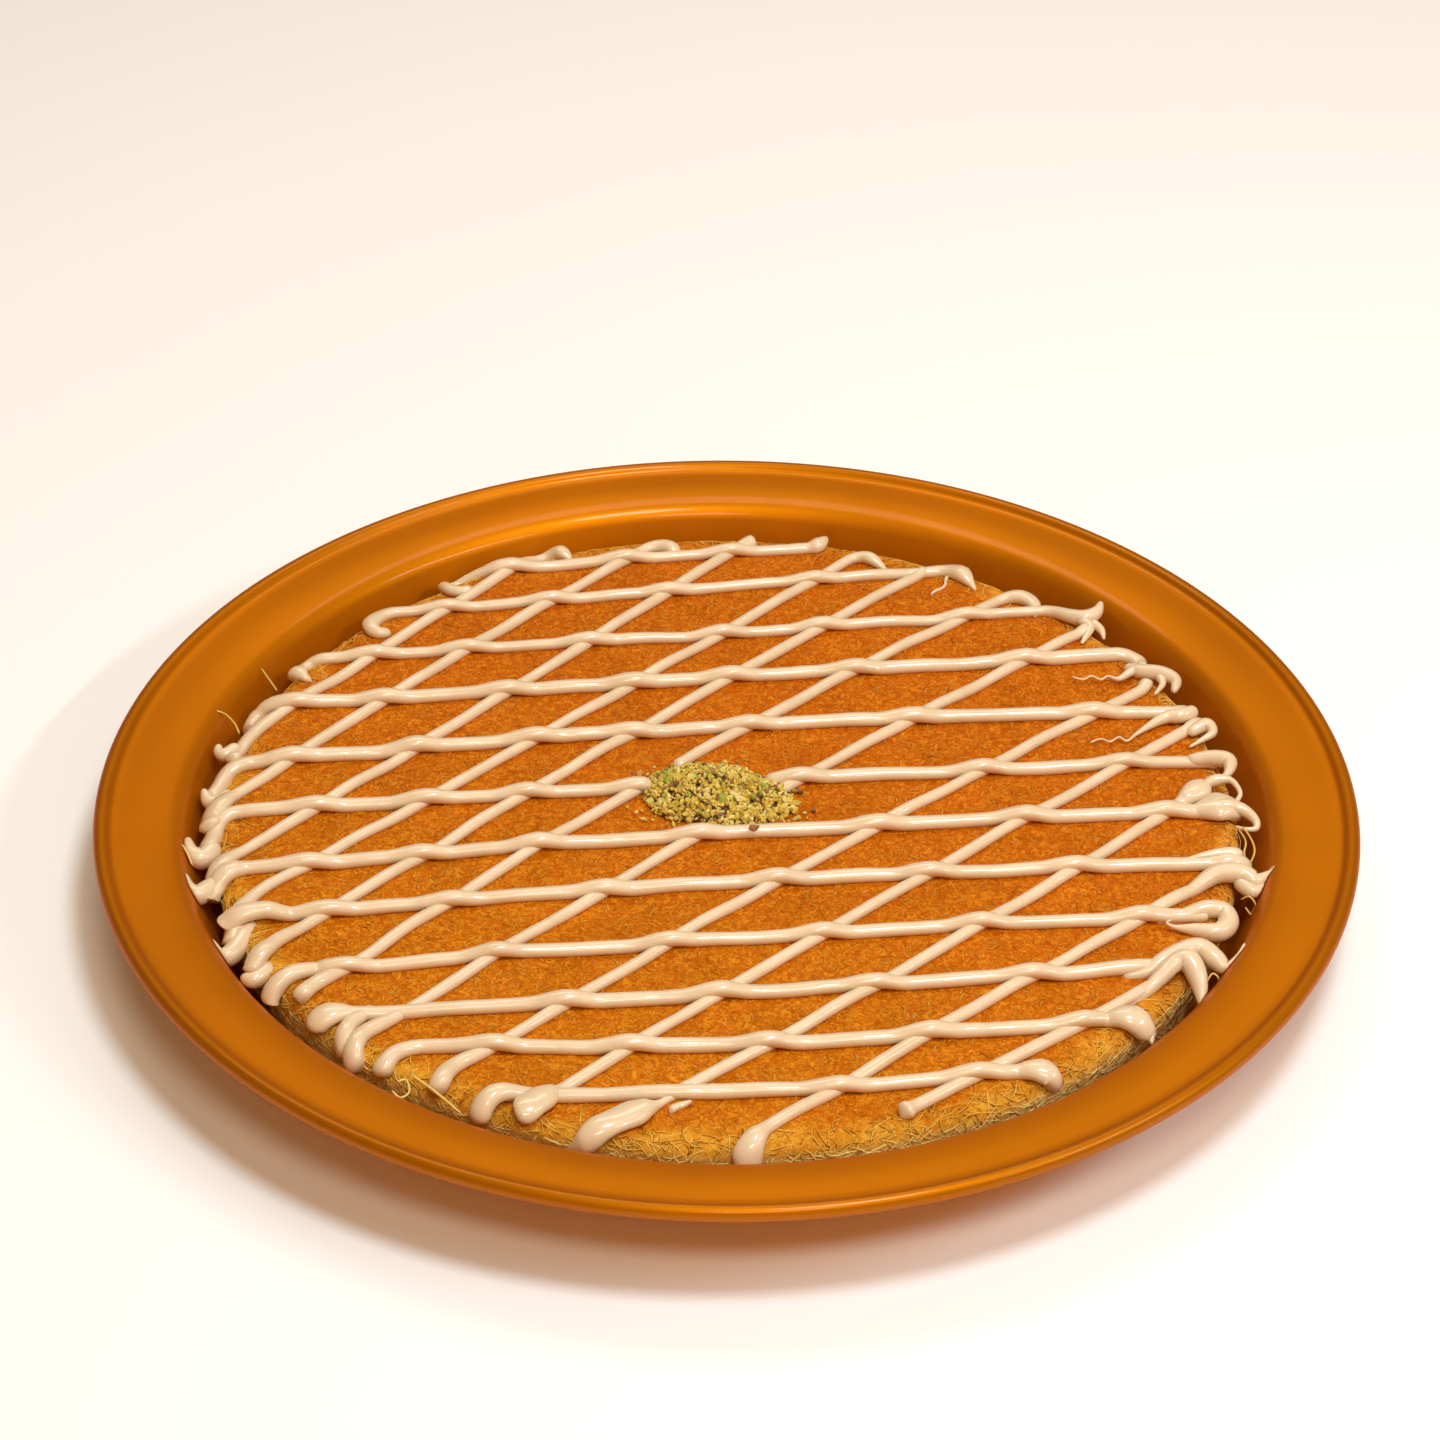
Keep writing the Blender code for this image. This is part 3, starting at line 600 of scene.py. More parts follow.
def wall_radius(height):
    """How far out the wall's inside is at a height, up the straight wall and round the bend."""
    share = (height - WALL_FOOT[1]) / (WALL_HEAD[1] - WALL_FOOT[1])
    straight = WALL_FOOT[0] + (WALL_HEAD[0] - WALL_FOOT[0]) * share
    above = np.clip(height - BEND_CENTRE[1], 0, BEND_RADIUS)
    bent = BEND_CENTRE[0] - np.sqrt(BEND_RADIUS ** 2 - above ** 2)
    return np.where(height < WALL_HEAD[1], straight, bent)


def inside_tray(points, clear):
    """Points drawn in where they would come nearer to the wall or floor than the clearance."""
    reach = np.hypot(points[..., 0], points[..., 1])
    limit = wall_radius(points[..., 2]) - clear
    share = np.minimum(1, limit / np.maximum(reach, 1e-6))
    points[..., 0] *= share
    points[..., 1] *= share
    points[..., 2] = np.maximum(points[..., 2], SHEET + clear)
    return points


def side_strands(seed, count, width):
    """Coarser pale threads tangled round the shoulder and down the side."""
    draw = np.random.default_rng(seed)
    rings = 6
    deep = draw.beta(1.5, 1.3, count) * 25.5 - 1.5
    start = SHOULDER_START + deep
    turn = draw.uniform(0, 2 * np.pi, count)
    heading = turn + math.pi / 2 * draw.choice([-1, 1], count) + draw.normal(0, 0.75, count)
    bend = draw.normal(0, 1.5, count)
    step = draw.uniform(4, 13, count) / (rings - 1)
    x, y = [start * np.cos(turn)], [start * np.sin(turn)]
    for _ in range(1, rings):
        heading = heading + bend / (rings - 1) + draw.normal(0, 0.12, count)
        x.append(x[-1] + step * np.cos(heading))
        y.append(y[-1] + step * np.sin(heading))
    x, y = np.stack(x, 1), np.stack(y, 1)
    reach = np.hypot(x, y)
    far = SHOULDER_START + QUARTER + THREAD_END
    x, y = x * np.minimum(1, far / reach), y * np.minimum(1, far / reach)
    arch = np.sin(np.linspace(0, np.pi, rings))[None, :]
    lift = draw.uniform(-0.2, 0.15, (count, 1)) + draw.gamma(1.1, 0.11, (count, 1)) * arch
    points, ups = wrap(x, y, np.minimum(lift, 2.4))
    radii = draw.uniform(0.7, 1.2, (count, 1)) * width / 2 * np.array([[.6, 1, 1, 1, 1, .5]])
    return strands(inside_tray(points, THREAD_CLEAR), ups, radii, flat=0.7)


# Drizzle

def along(line, s):
    """Plan position of a line at distance s from its middle."""
    bearing = math.radians(line.bearing)
    side = line.offset + line.bow * (s / 100) ** 2
    return (s * math.cos(bearing) - side * math.sin(bearing),
            s * math.sin(bearing) + side * math.cos(bearing))


def crossings(line, others):
    """Distances along a line at which it runs over the others."""
    found = []
    bearing = math.radians(line.bearing)
    for other in others:
        course = math.radians(other.bearing)
        s = 0.0
        for _ in range(6):
            x, y = along(line, s)
            t = x * math.cos(course) + y * math.sin(course)
            side = y * math.cos(course) - x * math.sin(course)
            miss = side - other.offset - other.bow * (t / 100) ** 2
            s += miss / math.sin(course - bearing)
        if line.start < s < line.finish and other.start < t < other.finish:
            found.append(s)
    return sorted(found)


def hump(s, peaks):
    """Share of the full rise at s, where the line rides over the ones below."""
    height = 0.0
    for peak in peaks:
        off = s - peak + HUMP_LEAD
        span = HUMP_RISE if off < 0 else HUMP_FALL
        if abs(off) < span:
            height = max(height, 0.5 + 0.5 * math.cos(math.pi * off / span))
    return height


Station = namedtuple("Station", "x y heading width lift over")


def tail(x, y, heading, width, bends, step, lift=0.0):
    """Stations of a line's end: a chain of bends with changing width and lift."""
    stations = []
    for turn, length, end_width, end_lift in bends:
        steps = max(2, math.ceil(length / step))
        for i in range(1, steps + 1):
            heading += math.radians(turn) / steps
            x += length / steps * math.cos(heading)
            y += length / steps * math.sin(heading)
            share = i / steps
            ease = share * share * (3 - 2 * share)
            stations.append(Station(x, y, heading, width + (end_width - width) * ease,
                                    lift + (end_lift - lift) * ease, 0.0))
        width, lift = end_width, end_lift
    return stations


def line_stations(line, peaks, rise, step):
    """Every station of a line from its first tip to its last."""
    bearing = math.radians(line.bearing)
    first = tail(*along(line, line.start), bearing + math.pi, line.width, line.first, step * 0.7)
    first = [st._replace(heading=st.heading - math.pi) for st in first]
    run = []
    count = round((line.finish - line.start) / step) + 1
    for s in np.linspace(line.start, line.finish, count):
        lean = math.atan(2 * line.bow * s / 100 ** 2)
        over = hump(s, peaks)
        wide = line.width * (1 + 0.055 * noise.noise(Vector((s / 13, line.offset, 0)))
                             + 0.03 * noise.noise(Vector((s / 4, line.offset, 7))) + 0.07 * over)
        aside = 0.35 * noise.noise(Vector((s / 24, line.offset, 3)))
        x, y = along(line, s)
        run.append(Station(x - aside * math.sin(bearing), y + aside * math.cos(bearing),
                           bearing + lean, wide, rise * over, over))
    last = tail(*along(line, line.finish), bearing, line.width, line.last, step * 0.7)
    return first[::-1] + run + last


def bead_section(sides):
    """A line's section as shares: aside from -1 to 1, and height above or below the belly."""
    turn = 2 * np.pi * np.arange(sides) / sides
    aside = np.cos(turn)
    up = np.sin(turn)
    below = up < -1e-6
    aside = np.where(below, np.sign(aside) * np.abs(aside) ** 0.75, aside)
    return aside, up


def tube(stations, sides):
    """A closed rounded bead of cream along its stations, its foot sunk in the pastry."""
    x, y, heading, width, lift, over = np.array(stations).T
    # Round off both ends: the last stations shrink like the end of a drop
    gone = np.concatenate([[0], np.cumsum(np.hypot(np.diff(x), np.diff(y)))])
    nose = np.maximum(width * 0.5, 0.5)
    share = np.ones(len(x))
    for left in (gone, gone[-1] - gone):
        near = np.clip(left / nose, 0, 1)
        share = np.minimum(share, np.sqrt(np.maximum(1 - (1 - near) ** 2, 0.004)))
    width = width * share
    tall = np.minimum(width, LINE_FAT)
    reach = np.hypot(x, y)
    edge = np.clip((reach - SHOULDER_START) / SHOULDER_ROUND, 0, 1)
    sink = -(LINE_SINK + EDGE_SINK * edge)
    aside, up = bead_section(sides)
    belly = lift + LINE_BELLY * tall
    crown = lift + LINE_HEIGHT * tall * (1 - LINE_SQUASH * over)
    foot = np.where(lift > 0.05, sink + FOOT_RISE * lift, sink)
    loose = np.clip(lift - 1.0, 0, 1) * (over < 0.01)
    foot = foot * (1 - loose) + (belly - LINE_FOOT * tall) * loose
    above = np.where(up > 0, 1, 0)
    high = belly[:, None] + above * up * (crown - belly)[:, None] \
        + (1 - above) * up * (belly - foot)[:, None]
    wide = aside[None, :] * width[:, None] / 2
    px = x[:, None] - wide * np.sin(heading)[:, None]
    py = y[:, None] + wide * np.cos(heading)[:, None]
    points, _ = wrap(px, py, high, np.clip((lift - 0.8) / 2.5, 0, 1)[:, None])
    points = inside_tray(points.reshape(-1, 3), CREAM_CLEAR)
    rings = len(x)
    caps = np.stack([np.arange(sides)[::-1], (rings - 1) * sides + np.arange(sides)])
    return points, [ring_faces(rings, sides), caps]


def split_at_gap(line):
    """A line in one piece, or in the two that end in the pistachio."""
    if line.gap is None:
        return [line]
    return [line._replace(finish=line.gap[0], last=()), line._replace(start=line.gap[1], first=())]


def drizzle(lines, below, rise, step, sides):
    """A family of lines; where it has lines below, it rides over them."""
    tubes = []
    under = [piece for line in below for piece in split_at_gap(line)]
    for line in lines:
        for piece in split_at_gap(line):
            tubes.append(tube(line_stations(piece, crossings(piece, under), rise, step), sides))
    return join(tubes)


# Thin tails and shreds of cream that lie on the cake: where each starts in the unrolled plan,
# its heading, width and lift there, and its chain of bends as in a line's end
WISPS = (
    (76, 137, 240, 1.4, 0.5, ((30, 5, 1.1, 0.4), (-60, 5, 1.0, 0.4), (30, 4, 0.8, 0.3))),
    (-104, -101, 225, 4.0, 0.2, ((10, 9, 5.0, 0.2), (60, 12, 5.5, 0.3))),
    (-16, -147, 55, 2.6, 0.3, ((-30, 4, 2.2, 0.6), (10, 4, 0.9, 1.2))),
)

# Hooks, barbs and folds that stand free at the lines' ends, from left to right: marks of x, y,
# height and width that each tube runs through, in the tray's own frame
HOOKS = (
    ((-158, 31, 26, 4.5), (-161.5, 27, 25.5, 5), (-164, 27.5, 26, 4), (-164.5, 30, 27.5, 1.6)),
    ((-158.5, 9, 23.5, 5), (-161.5, 4, 23, 5.4), (-165, 3.5, 24, 4.8), (-167, 7, 26.5, 1.6)),
    ((-160, -19, 24, 6.2), (-163.5, -25.5, 23, 7), (-167.5, -24.5, 24.5, 6),
     (-169, -19.5, 27, 1.8)),
    ((-156, -37, 23.6, 4), (-160, -42, 24, 6), (-163, -45.5, 24, 6.6), (-166, -44, 25, 5.6),
     (-168, -38.5, 27, 2)),
    ((-144, -58, 23, 4), (-147, -64, 23, 6), (-150, -72, 22, 6.8), (-154, -73, 22.5, 5.6),
     (-156.5, -68.5, 25, 1.8)),
    ((-137, -78, 23, 5.5), (-141.5, -84.5, 22.5, 5.8), (-146, -84, 23, 3)),
    ((118, -102, 26.5, 7.5), (123, -104, 25.5, 6.2), (125.5, -107.5, 23.5, 3.2),
     (126, -111, 22, 0.8)),
    ((118, -96.5, 24.2, 2.6), (125, -91, 25.3, 4), (130, -86, 27, 5), (135, -80.5, 28.5, 6),
     (139, -80, 29, 7.2), (141.5, -85, 26.5, 6.2), (142.5, -92, 23, 3), (143, -97, 21.5, 0.7)),
    ((119, -82.5, 24.4, 3), (127, -81, 25.6, 4.8), (131.5, -78, 27.3, 5.4), (137, -74.5, 28, 6),
     (143, -72.5, 28, 6.4), (147.5, -76, 26.5, 6.6), (151, -79, 25.5, 4.2), (154.5, -75.5, 27, 2),
     (157, -71, 29, 0.7)),
    ((131, -55.2, 24.6, 3), (140, -54, 25.8, 4.8), (147, -52, 27, 5.8), (152.5, -52.5, 26.5, 6),
     (153.5, -57, 25.5, 6.8), (150, -61.5, 25.5, 6.2), (143, -61, 26, 4.2), (137, -60.5, 26.5, 1.6),
     (134.5, -59, 27, 0.8), (136, -57.5, 27, 0.7)),
    ((136, -47.5, 24.4, 2.8), (144, -41, 25.8, 4.4), (152, -35, 27.5, 6.2), (159.5, -34, 27, 6.8),
     (164, -36.5, 26, 5.8), (168, -34.5, 27, 2.8), (171.5, -32.5, 29, 0.7)),
    ((158, -35, 25.5, 5), (163, -40.5, 25, 4.4), (167.5, -37, 26, 1)),
    ((161, -26, 27, 5), (157, -25, 28, 4.4), (150, -26, 28, 3), (142, -28, 27.4, 0.8)),
    ((148, -0.8, 26.2, 4), (157, 0, 27.4, 6), (163, -1, 27.5, 4.4), (167, -5, 26.5, 3),
     (167, -9, 26, 2), (163.5, -9.5, 26, 1.4), (160.5, -8, 26, 0.8)),
    ((151, 10.5, 27.4, 2.4), (156, 13, 28.6, 4), (161, 12, 29.3, 2.2), (163.5, 7, 28, 1.6),
     (161.5, 3.5, 27, 1.6), (160, 6, 27, 0.9)),
    ((148, 27, 26, 3.8), (156, 27, 27.2, 5.5), (161.5, 25, 27.5, 5.6), (161, 19.5, 27, 3),
     (157, 15.5, 26.3, 0.8)),
    ((150, 41.5, 26.4, 3), (156, 45, 27.6, 5), (158, 41.5, 27, 3.2), (153.5, 38, 26, 1.6),
     (150, 35.5, 25.5, 0.7)),
    ((154, 54, 27, 5), (149, 50.5, 27.5, 5.2), (143.5, 50, 27, 4.2), (138, 46, 26.5, 2.6),
     (133, 41.5, 26, 1.2), (130, 38, 26, 0.8), (127.5, 40, 26, 0.7), (124.5, 37.5, 26, 0.7),
     (121.5, 39, 26, 0.6), (118, 37, 26, 0.6)),
    ((132.5, 80.5, 25.8, 3.4), (137, 77, 26.8, 5), (144, 74, 28, 5.2), (148.5, 70.5, 27.5, 4.2),
     (147.5, 65, 26.5, 2)),
    ((143, 73, 28, 3.4), (144, 68.5, 27.5, 2.4), (141, 63.5, 26.5, 0.8)),
    ((140, 80, 27, 4.2), (134.5, 76.5, 27, 3.2), (130, 73.5, 26, 1.8), (126.5, 75, 26, 0.9),
     (124, 73, 26, 0.8), (121, 75, 26, 0.8), (118, 73, 26, 0.7), (114.5, 74.5, 26, 0.6)),
    ((104, 115, 25.4, 2.8), (111, 113, 26.2, 4.2), (116, 109.5, 27, 5), (121, 107.5, 27.5, 5.8),
     (125, 109.5, 28.5, 4.6), (127, 113.5, 30.5, 1.4)),
    ((121, 108, 27, 4), (126, 103, 26, 3), (127, 97.5, 25.5, 0.8)),
    ((118, 108, 27.5, 4), (122.5, 103, 27, 3.2), (120.5, 97.5, 26, 2), (119, 94.5, 25.8, 0.8)),
)

# Pastry threads that have come loose, as marks in the same way
LOOSE = (
    ((-168, 47, 29, 0.7), (-164, 46, 28, 0.7), (-160.5, 42, 27, 0.7), (-158.5, 37, 26.5, 0.7)),
    ((-155, 73, 28, 0.6), (-151.5, 67, 27, 0.7), (-148.5, 61.5, 26.5, 0.6)),
    ((-170, -24.5, 28, 0.6), (-168, -28, 27, 0.7), (-166, -32, 25, 0.6)),
    ((-91.5, -134, 28, 0.8), (-84, -141, 27.5, 1), (-75, -149, 25, 0.7)),
    ((-96.5, -138, 25, 0.7), (-94, -139.5, 23.5, 0.7), (-91.5, -137.5, 24, 0.7),
     (-92.5, -134.5, 26, 0.7), (-95, -136, 26.5, 0.6)),
    ((144.5, -83, 23, 0.6), (146.5, -81, 25, 0.7), (148.5, -82, 23.5, 0.7), (147, -85, 22, 0.6)),
    ((159, -42, 23, 0.6), (161.5, -43, 25, 0.7), (163.5, -45, 23, 0.7), (162, -47.5, 21.5, 0.7),
     (160, -45.5, 23, 0.6)),
    ((162.5, -9, 27, 0.6), (165, -14, 25.5, 0.7), (165.5, -20, 25, 0.7), (163, -27, 24.5, 0.6)),
    ((161, -8, 26, 0.6), (163.5, -13, 24, 0.7), (162.5, -19, 23, 0.7), (164, -25, 22, 0.6)),
)


def through(marks, steps):
    """A smooth path through marks of x, y, height and width."""
    marks = np.array(marks, float)
    padded = np.vstack([2 * marks[0] - marks[1], marks, 2 * marks[-1] - marks[-2]])
    t = np.linspace(0, 1, steps, endpoint=False)[:, None]
    stretches = [b + 0.5 * ((c - a) * t + (2 * a - 5 * b + 4 * c - d) * t ** 2
                            + (3 * b - a - 3 * c + d) * t ** 3)
                 for a, b, c, d in zip(padded, padded[1:], padded[2:], padded[3:])]
    return np.vstack([*stretches, marks[-1:]])


def free_tubes(paths, steps, sides):
    """Closed round tubes through marks in their real places, kept off the tray."""
    tubes = []
    for marks in paths:
        path = through(marks, steps)
        gone = np.cumsum(np.linalg.norm(np.diff(path[:, :3], axis=0, prepend=path[:1, :3]), axis=1))
        near = np.clip(np.minimum(gone, gone[-1] - gone) / np.maximum(path[:, 3], 0.5) * 2, 0, 1)
        radii = np.maximum(path[:, 3], 0.5) / 2 * np.sqrt(np.maximum(1 - (1 - near) ** 2, 0.01))
        ups, radii = np.tile([0.0, 0.0, 1.0], (1, len(path), 1)), radii[None]
        points, faces = strands(path[None, :, :3], ups, radii, sides=sides)
        tubes.append((inside_tray(points, CREAM_CLEAR), faces))
    return join(tubes)


def wisps(step, sides):
    """The thin tails, each its own closed tube."""
    tubes = []
    for x, y, heading, width, lift, bends in WISPS:
        turn = math.radians(heading)
        start = Station(x, y, turn, width, lift, 0.0)
        tubes.append(tube([start] + tail(x, y, turn, width, bends, step, lift), sides))
    return join(tubes)


# Pistachio

def heap_outline(out, turn, sizes):
    """Plan places on the heap from shares of the way out and turns round it."""
    ragged = 1 + 0.06 * np.cos(2 * turn - 0.2) + 0.05 * np.sin(3 * turn + 1.9) \
        + 0.03 * np.sin(5 * turn + 0.4) + 0.025 * np.sin(9 * turn + 2.2)
    across = sizes.heap_width / MM / 2 * out * ragged * np.cos(turn)
    deep = sizes.heap_depth / MM / 2 * out * ragged * np.sin(turn)
    tilt = sizes.heap_tilt
    return (sizes.heap_x / MM + across * math.cos(tilt) - deep * math.sin(tilt),
            sizes.heap_y / MM + across * math.sin(tilt) + deep * math.cos(tilt))


def mound(out, sizes):
    """Height of the heap's skin above the pastry, by the share of the way out."""
    return (sizes.heap_height / MM - BITS_ABOVE) * np.maximum(1 - out ** 2.2, 0) ** 0.8


def make_heap(sizes):
    """The mound under the loose bits, with relief the size of a small crumb."""
    rings, sides = 34, 120
    turn = 2 * np.pi * np.arange(sides) / sides
    points = []
    for ring in range(rings):
        out = 1 - ring / rings
        x, y = heap_outline(out, turn, sizes)
        rough = np.array([noise.noise(Vector((a, b, 0)) * 0.85) * 0.9
                          + noise.noise(Vector((a, b, 5)) * 1.9) * 0.45 for a, b in zip(x, y)])
        z = PASTRY_TOP - MOUND_SINK + mound(out, sizes) + np.maximum(rough, -0.5)
        if ring == 0:
            z = np.full(sides, PASTRY_TOP - MOUND_FOOT)
        points.append(np.stack([x, y, z], -1))
    middle = (sizes.heap_x / MM, sizes.heap_y / MM)
    points = np.vstack([*points, [*middle, PASTRY_TOP - MOUND_SINK + mound(0, sizes)],
                        [*middle, PASTRY_TOP - MOUND_FOOT]])
    peak, bottom = len(points) - 2, len(points) - 1
    caps = np.concatenate([fan(peak, peak - sides, sides), fan(bottom, 0, sides, False)])
    return points, [ring_faces(rings, sides), caps]


def grain_shape():
    """Corners and faces of a twenty-sided grain."""
    work = bmesh.new()
    bmesh.ops.create_icosphere(work, subdivisions=1, radius=0.5)
    corners = np.array([v.co for v in work.verts])
    faces = np.array([[v.index for v in f.verts] for f in work.faces])
    work.free()
    return corners, faces


def spin(draw, count):
    """Random rotations as matrices."""
    q = unit(draw.normal(size=(count, 4)))
    w, x, y, z = q.T
    return np.stack([
        np.stack([1 - 2 * (y * y + z * z), 2 * (x * y - z * w), 2 * (x * z + y * w)], -1),
        np.stack([2 * (x * y + z * w), 1 - 2 * (x * x + z * z), 2 * (y * z - x * w)], -1),
        np.stack([2 * (x * z - y * w), 2 * (y * z + x * w), 1 - 2 * (x * x + y * y)], -1)], -2)


def grains(draw, x, y, z, size):
    """Chopped grains at given places: jagged, each with its own turn and proportions."""
    corners, faces = grain_shape()
    count = len(x)
    jag = draw.uniform(0.62, 1.30, (count, len(corners), 1))
    shape = corners[None] * jag
    scale = draw.uniform(0.5, 1.3, (count, 1, 3))
    shape = shape * scale * size[:, None, None]
    # One side of a chopped grain is cut flat
    shape[..., 2] = np.minimum(shape[..., 2], 0.28 * size[:, None])
    turned = np.einsum("nij,nkj->nki", spin(draw, count), shape)
    points = turned + np.stack([x, y, z], -1)[:, None]
    first = np.arange(count)[:, None, None] * len(corners)
    return points.reshape(-1, 3), [(first + faces).reshape(-1, 3)]


def heap_places(draw, count, sizes):
    """Places on the mound's skin, thick round its steep foot, and a few bits strayed off it."""
    out = draw.uniform(0, 1, count) ** 0.42 * 1.02
    astray = draw.uniform(0, 1, count) < 0.03
    out = np.where(astray, draw.uniform(1.05, 1.35, count), out)
    x, y = heap_outline(out, draw.uniform(0, 2 * np.pi, count), sizes)
    return x, y, PASTRY_TOP + mound(np.minimum(out, 1), sizes)


# Settings

def length(name, description, default):
    return FloatProperty(name=name, description=description, default=default * MM,
                         unit="LENGTH", subtype="DISTANCE", precision=4)


def angle(name, description, degrees):
    return FloatProperty(name=name, description=description, default=math.radians(degrees),
                         unit="ROTATION", subtype="ANGLE")


def amount(name, description, default, low, high):
    return IntProperty(name=name, description=description, default=default, min=low, max=high)


def colour(name, description, code):
    return FloatVectorProperty(name=name, description=description, default=linear(code),
                               subtype="COLOR", size=3, min=0, max=1)


class KunafaTraySettings(bpy.types.PropertyGroup):
    bead_radius: length("Bead radius", "Radius of the tray's rolled edge", 2.5)
    tray_sides: amount("Sides", "Segments round the tray", 288, 64, 512)
    lacquer: colour("Lacquer", "Orange-gold of the clear-lacquered aluminium", "C26E02")
    roughness: FloatProperty(name="Roughness", description="Satin of the lacquered metal",
                             default=0.46, min=0.05, max=1)


class KunafaPastrySettings(bpy.types.PropertyGroup):
    strand_width: length("Strand width", "Width of the shredded pastry's threads on top", 0.62)
    side_width: length("Side strand width", "Width of the threads down the side", 0.55)
    top_count: amount("Top strands", "Light threads on top, twice the amber ones", 5600, 100, 9900)
    side_count: amount("Side strands", "Threads round the side", 6200, 100, 6400)
    deep: colour("Deep orange", "Darkest baked threads and the gaps between them", "A84A02")
    baked: colour("Baked orange", "The syrup-soaked top", "BE6004")
    bright: colour("Bright orange", "Threads that catch the light", "E08C24")
    pale: colour("Pale side", "Barely baked threads down the side", "E0B868")


class KunafaDrizzleSettings(bpy.types.PropertyGroup):
    rise: length("Rise", "How high a long line rides over a cross line", 2.0)
    ring_step: length("Ring step", "Distance between rings along a line", 1.5)
    cream: colour("Cream", "Piped cream in the light", "E5CBA8")
    shade: colour("Cream shade", "Piped cream where it is thinner and warmer", "DBC09A")


class KunafaPistachioSettings(bpy.types.PropertyGroup):
    heap_x: length("Middle X", "Middle of the heap across the tray", -3.0)
    heap_y: length("Middle Y", "Middle of the heap towards the back", 6.4)
    heap_width: length("Width", "Width of the heap", 45.0)
    heap_depth: length("Depth", "Depth of the heap", 31.0)
    heap_height: length("Height", "Height of the heap above the pastry", 8.7)
    heap_tilt: angle("Tilt", "Turn of the heap in plan", -13)
    count: amount("Bits", "Chopped bits on the heap", 1900, 100, 4000)


class KunafaStageSettings(bpy.types.PropertyGroup):
    pitch: angle("Camera pitch", "How far the camera looks down", 35.19)
    roll: angle("Camera roll", "Turn of the camera about its axis", 0.48)
    distance: length("Camera distance", "From the camera to the tray's rim plane", 1266.1)
    lens: FloatProperty(name="Focal length", description="Focal length on a 36 mm sensor",
                        default=100.0, unit="CAMERA")
    floor: colour("Floor", "White studio floor", "FCFAF7")


# Pieces

class KUNAFA_OT_tray(bpy.types.Operator):
    """Spin the lacquered tray with its wall, flange and rolled edge"""
    bl_idname = "kunafa.tray"
    bl_label = "Tray"

    def execute(self, context):
        sizes = context.scene.kunafa_tray
        material = lacquered_aluminium(tuple(sizes.lacquer), sizes.roughness)
        add_piece("tray_shell", *make_tray(sizes), material, "tray_lacquer", "tray")
        return {"FINISHED"}


class KUNAFA_OT_pastry(bpy.types.Operator):
    """Bake the cake: its skin and the threads on its top and side"""
    bl_idname = "kunafa.pastry"
    bl_label = "Pastry"

    def execute(self, context):
        sizes = context.scene.kunafa_pastry
        deep, baked, bright, pale = (
            tuple(c) for c in (sizes.deep, sizes.baked, sizes.bright, sizes.pale))
        skin = crust("kadayif_crust_syruped", (
            (deep, baked, bright), tones("C87C18 D8902C E4A84A"),
            tones("DCB868 EACC8C F2DCA6")), 0.42, False)
        add_piece("pastry_cake", *make_cake(), skin, "baked_pastry", "pastry")
        width, side_width = sizes.strand_width / MM, sizes.side_width / MM
        # Each kind's threads, material, roughness, and shades on top, at the rim and on the side
        kinds = (
            ("pastry_threads_amber", top_strands(21, sizes.top_count // 2, width),
             "kadayif_threads_syruped", 0.40, tones("CC6E0C D67A18 DE8826"),
             tones("CC7E18 D48A24 DB9632"), (*tones("C09048 D2A65C"), pale)),
            ("pastry_threads_light", top_strands(22, sizes.top_count, width * 0.9),
             "kadayif_threads_crisp", 0.45, tones("DA8420 E49638 ECAC56"),
             tones("D08826 DA9836 E2A84A"), (linear("CC9E54"), pale, linear("E4C888"))),
            ("pastry_threads_side", side_strands(23, sizes.side_count, side_width),
             "kadayif_threads_pale", 0.5, tones("D88A24 E29C3C EAAE54"),
             tones("DC9E3C E6B056 EEC478"), tones("E0C080 EED6A0 F8EAC4")),
            ("pastry_threads_loose", free_tubes(LOOSE, steps=5, sides=5),
             "kadayif_threads_dry", 0.5, *((linear("E0BC80"), pale, linear("EED8A8")),) * 3),
        )
        for name, mesh, material, roughness, *shades in kinds:
            add_piece(name, *mesh, crust(material, shades, roughness, True), "baked_pastry")
        return {"FINISHED"}


class KUNAFA_OT_drizzle(bpy.types.Operator):
    """Pipe the cream: cross lines first, long lines over them, then tails and hooks"""
    bl_idname = "kunafa.drizzle"
    bl_label = "Cream drizzle"

    def execute(self, context):
        sizes = context.scene.kunafa_drizzle
        cream = piped_cream(tuple(sizes.cream), tuple(sizes.shade))
        rise, step = sizes.rise / MM, sizes.ring_step / MM
        for name, lines, below in (("cream_cross_lines", CROSS_LINES, ()),
                                   ("cream_long_lines", LONG_LINES, CROSS_LINES)):
            add_piece(name, *drizzle(lines, below, rise, step, sides=14), cream,
                      "cream_drizzle", "pastry")
        loose = join([wisps(step=0.8, sides=8), free_tubes(HOOKS, steps=7, sides=16)])
        add_piece("cream_wisps", *loose, cream, "cream_drizzle")
        return {"FINISHED"}


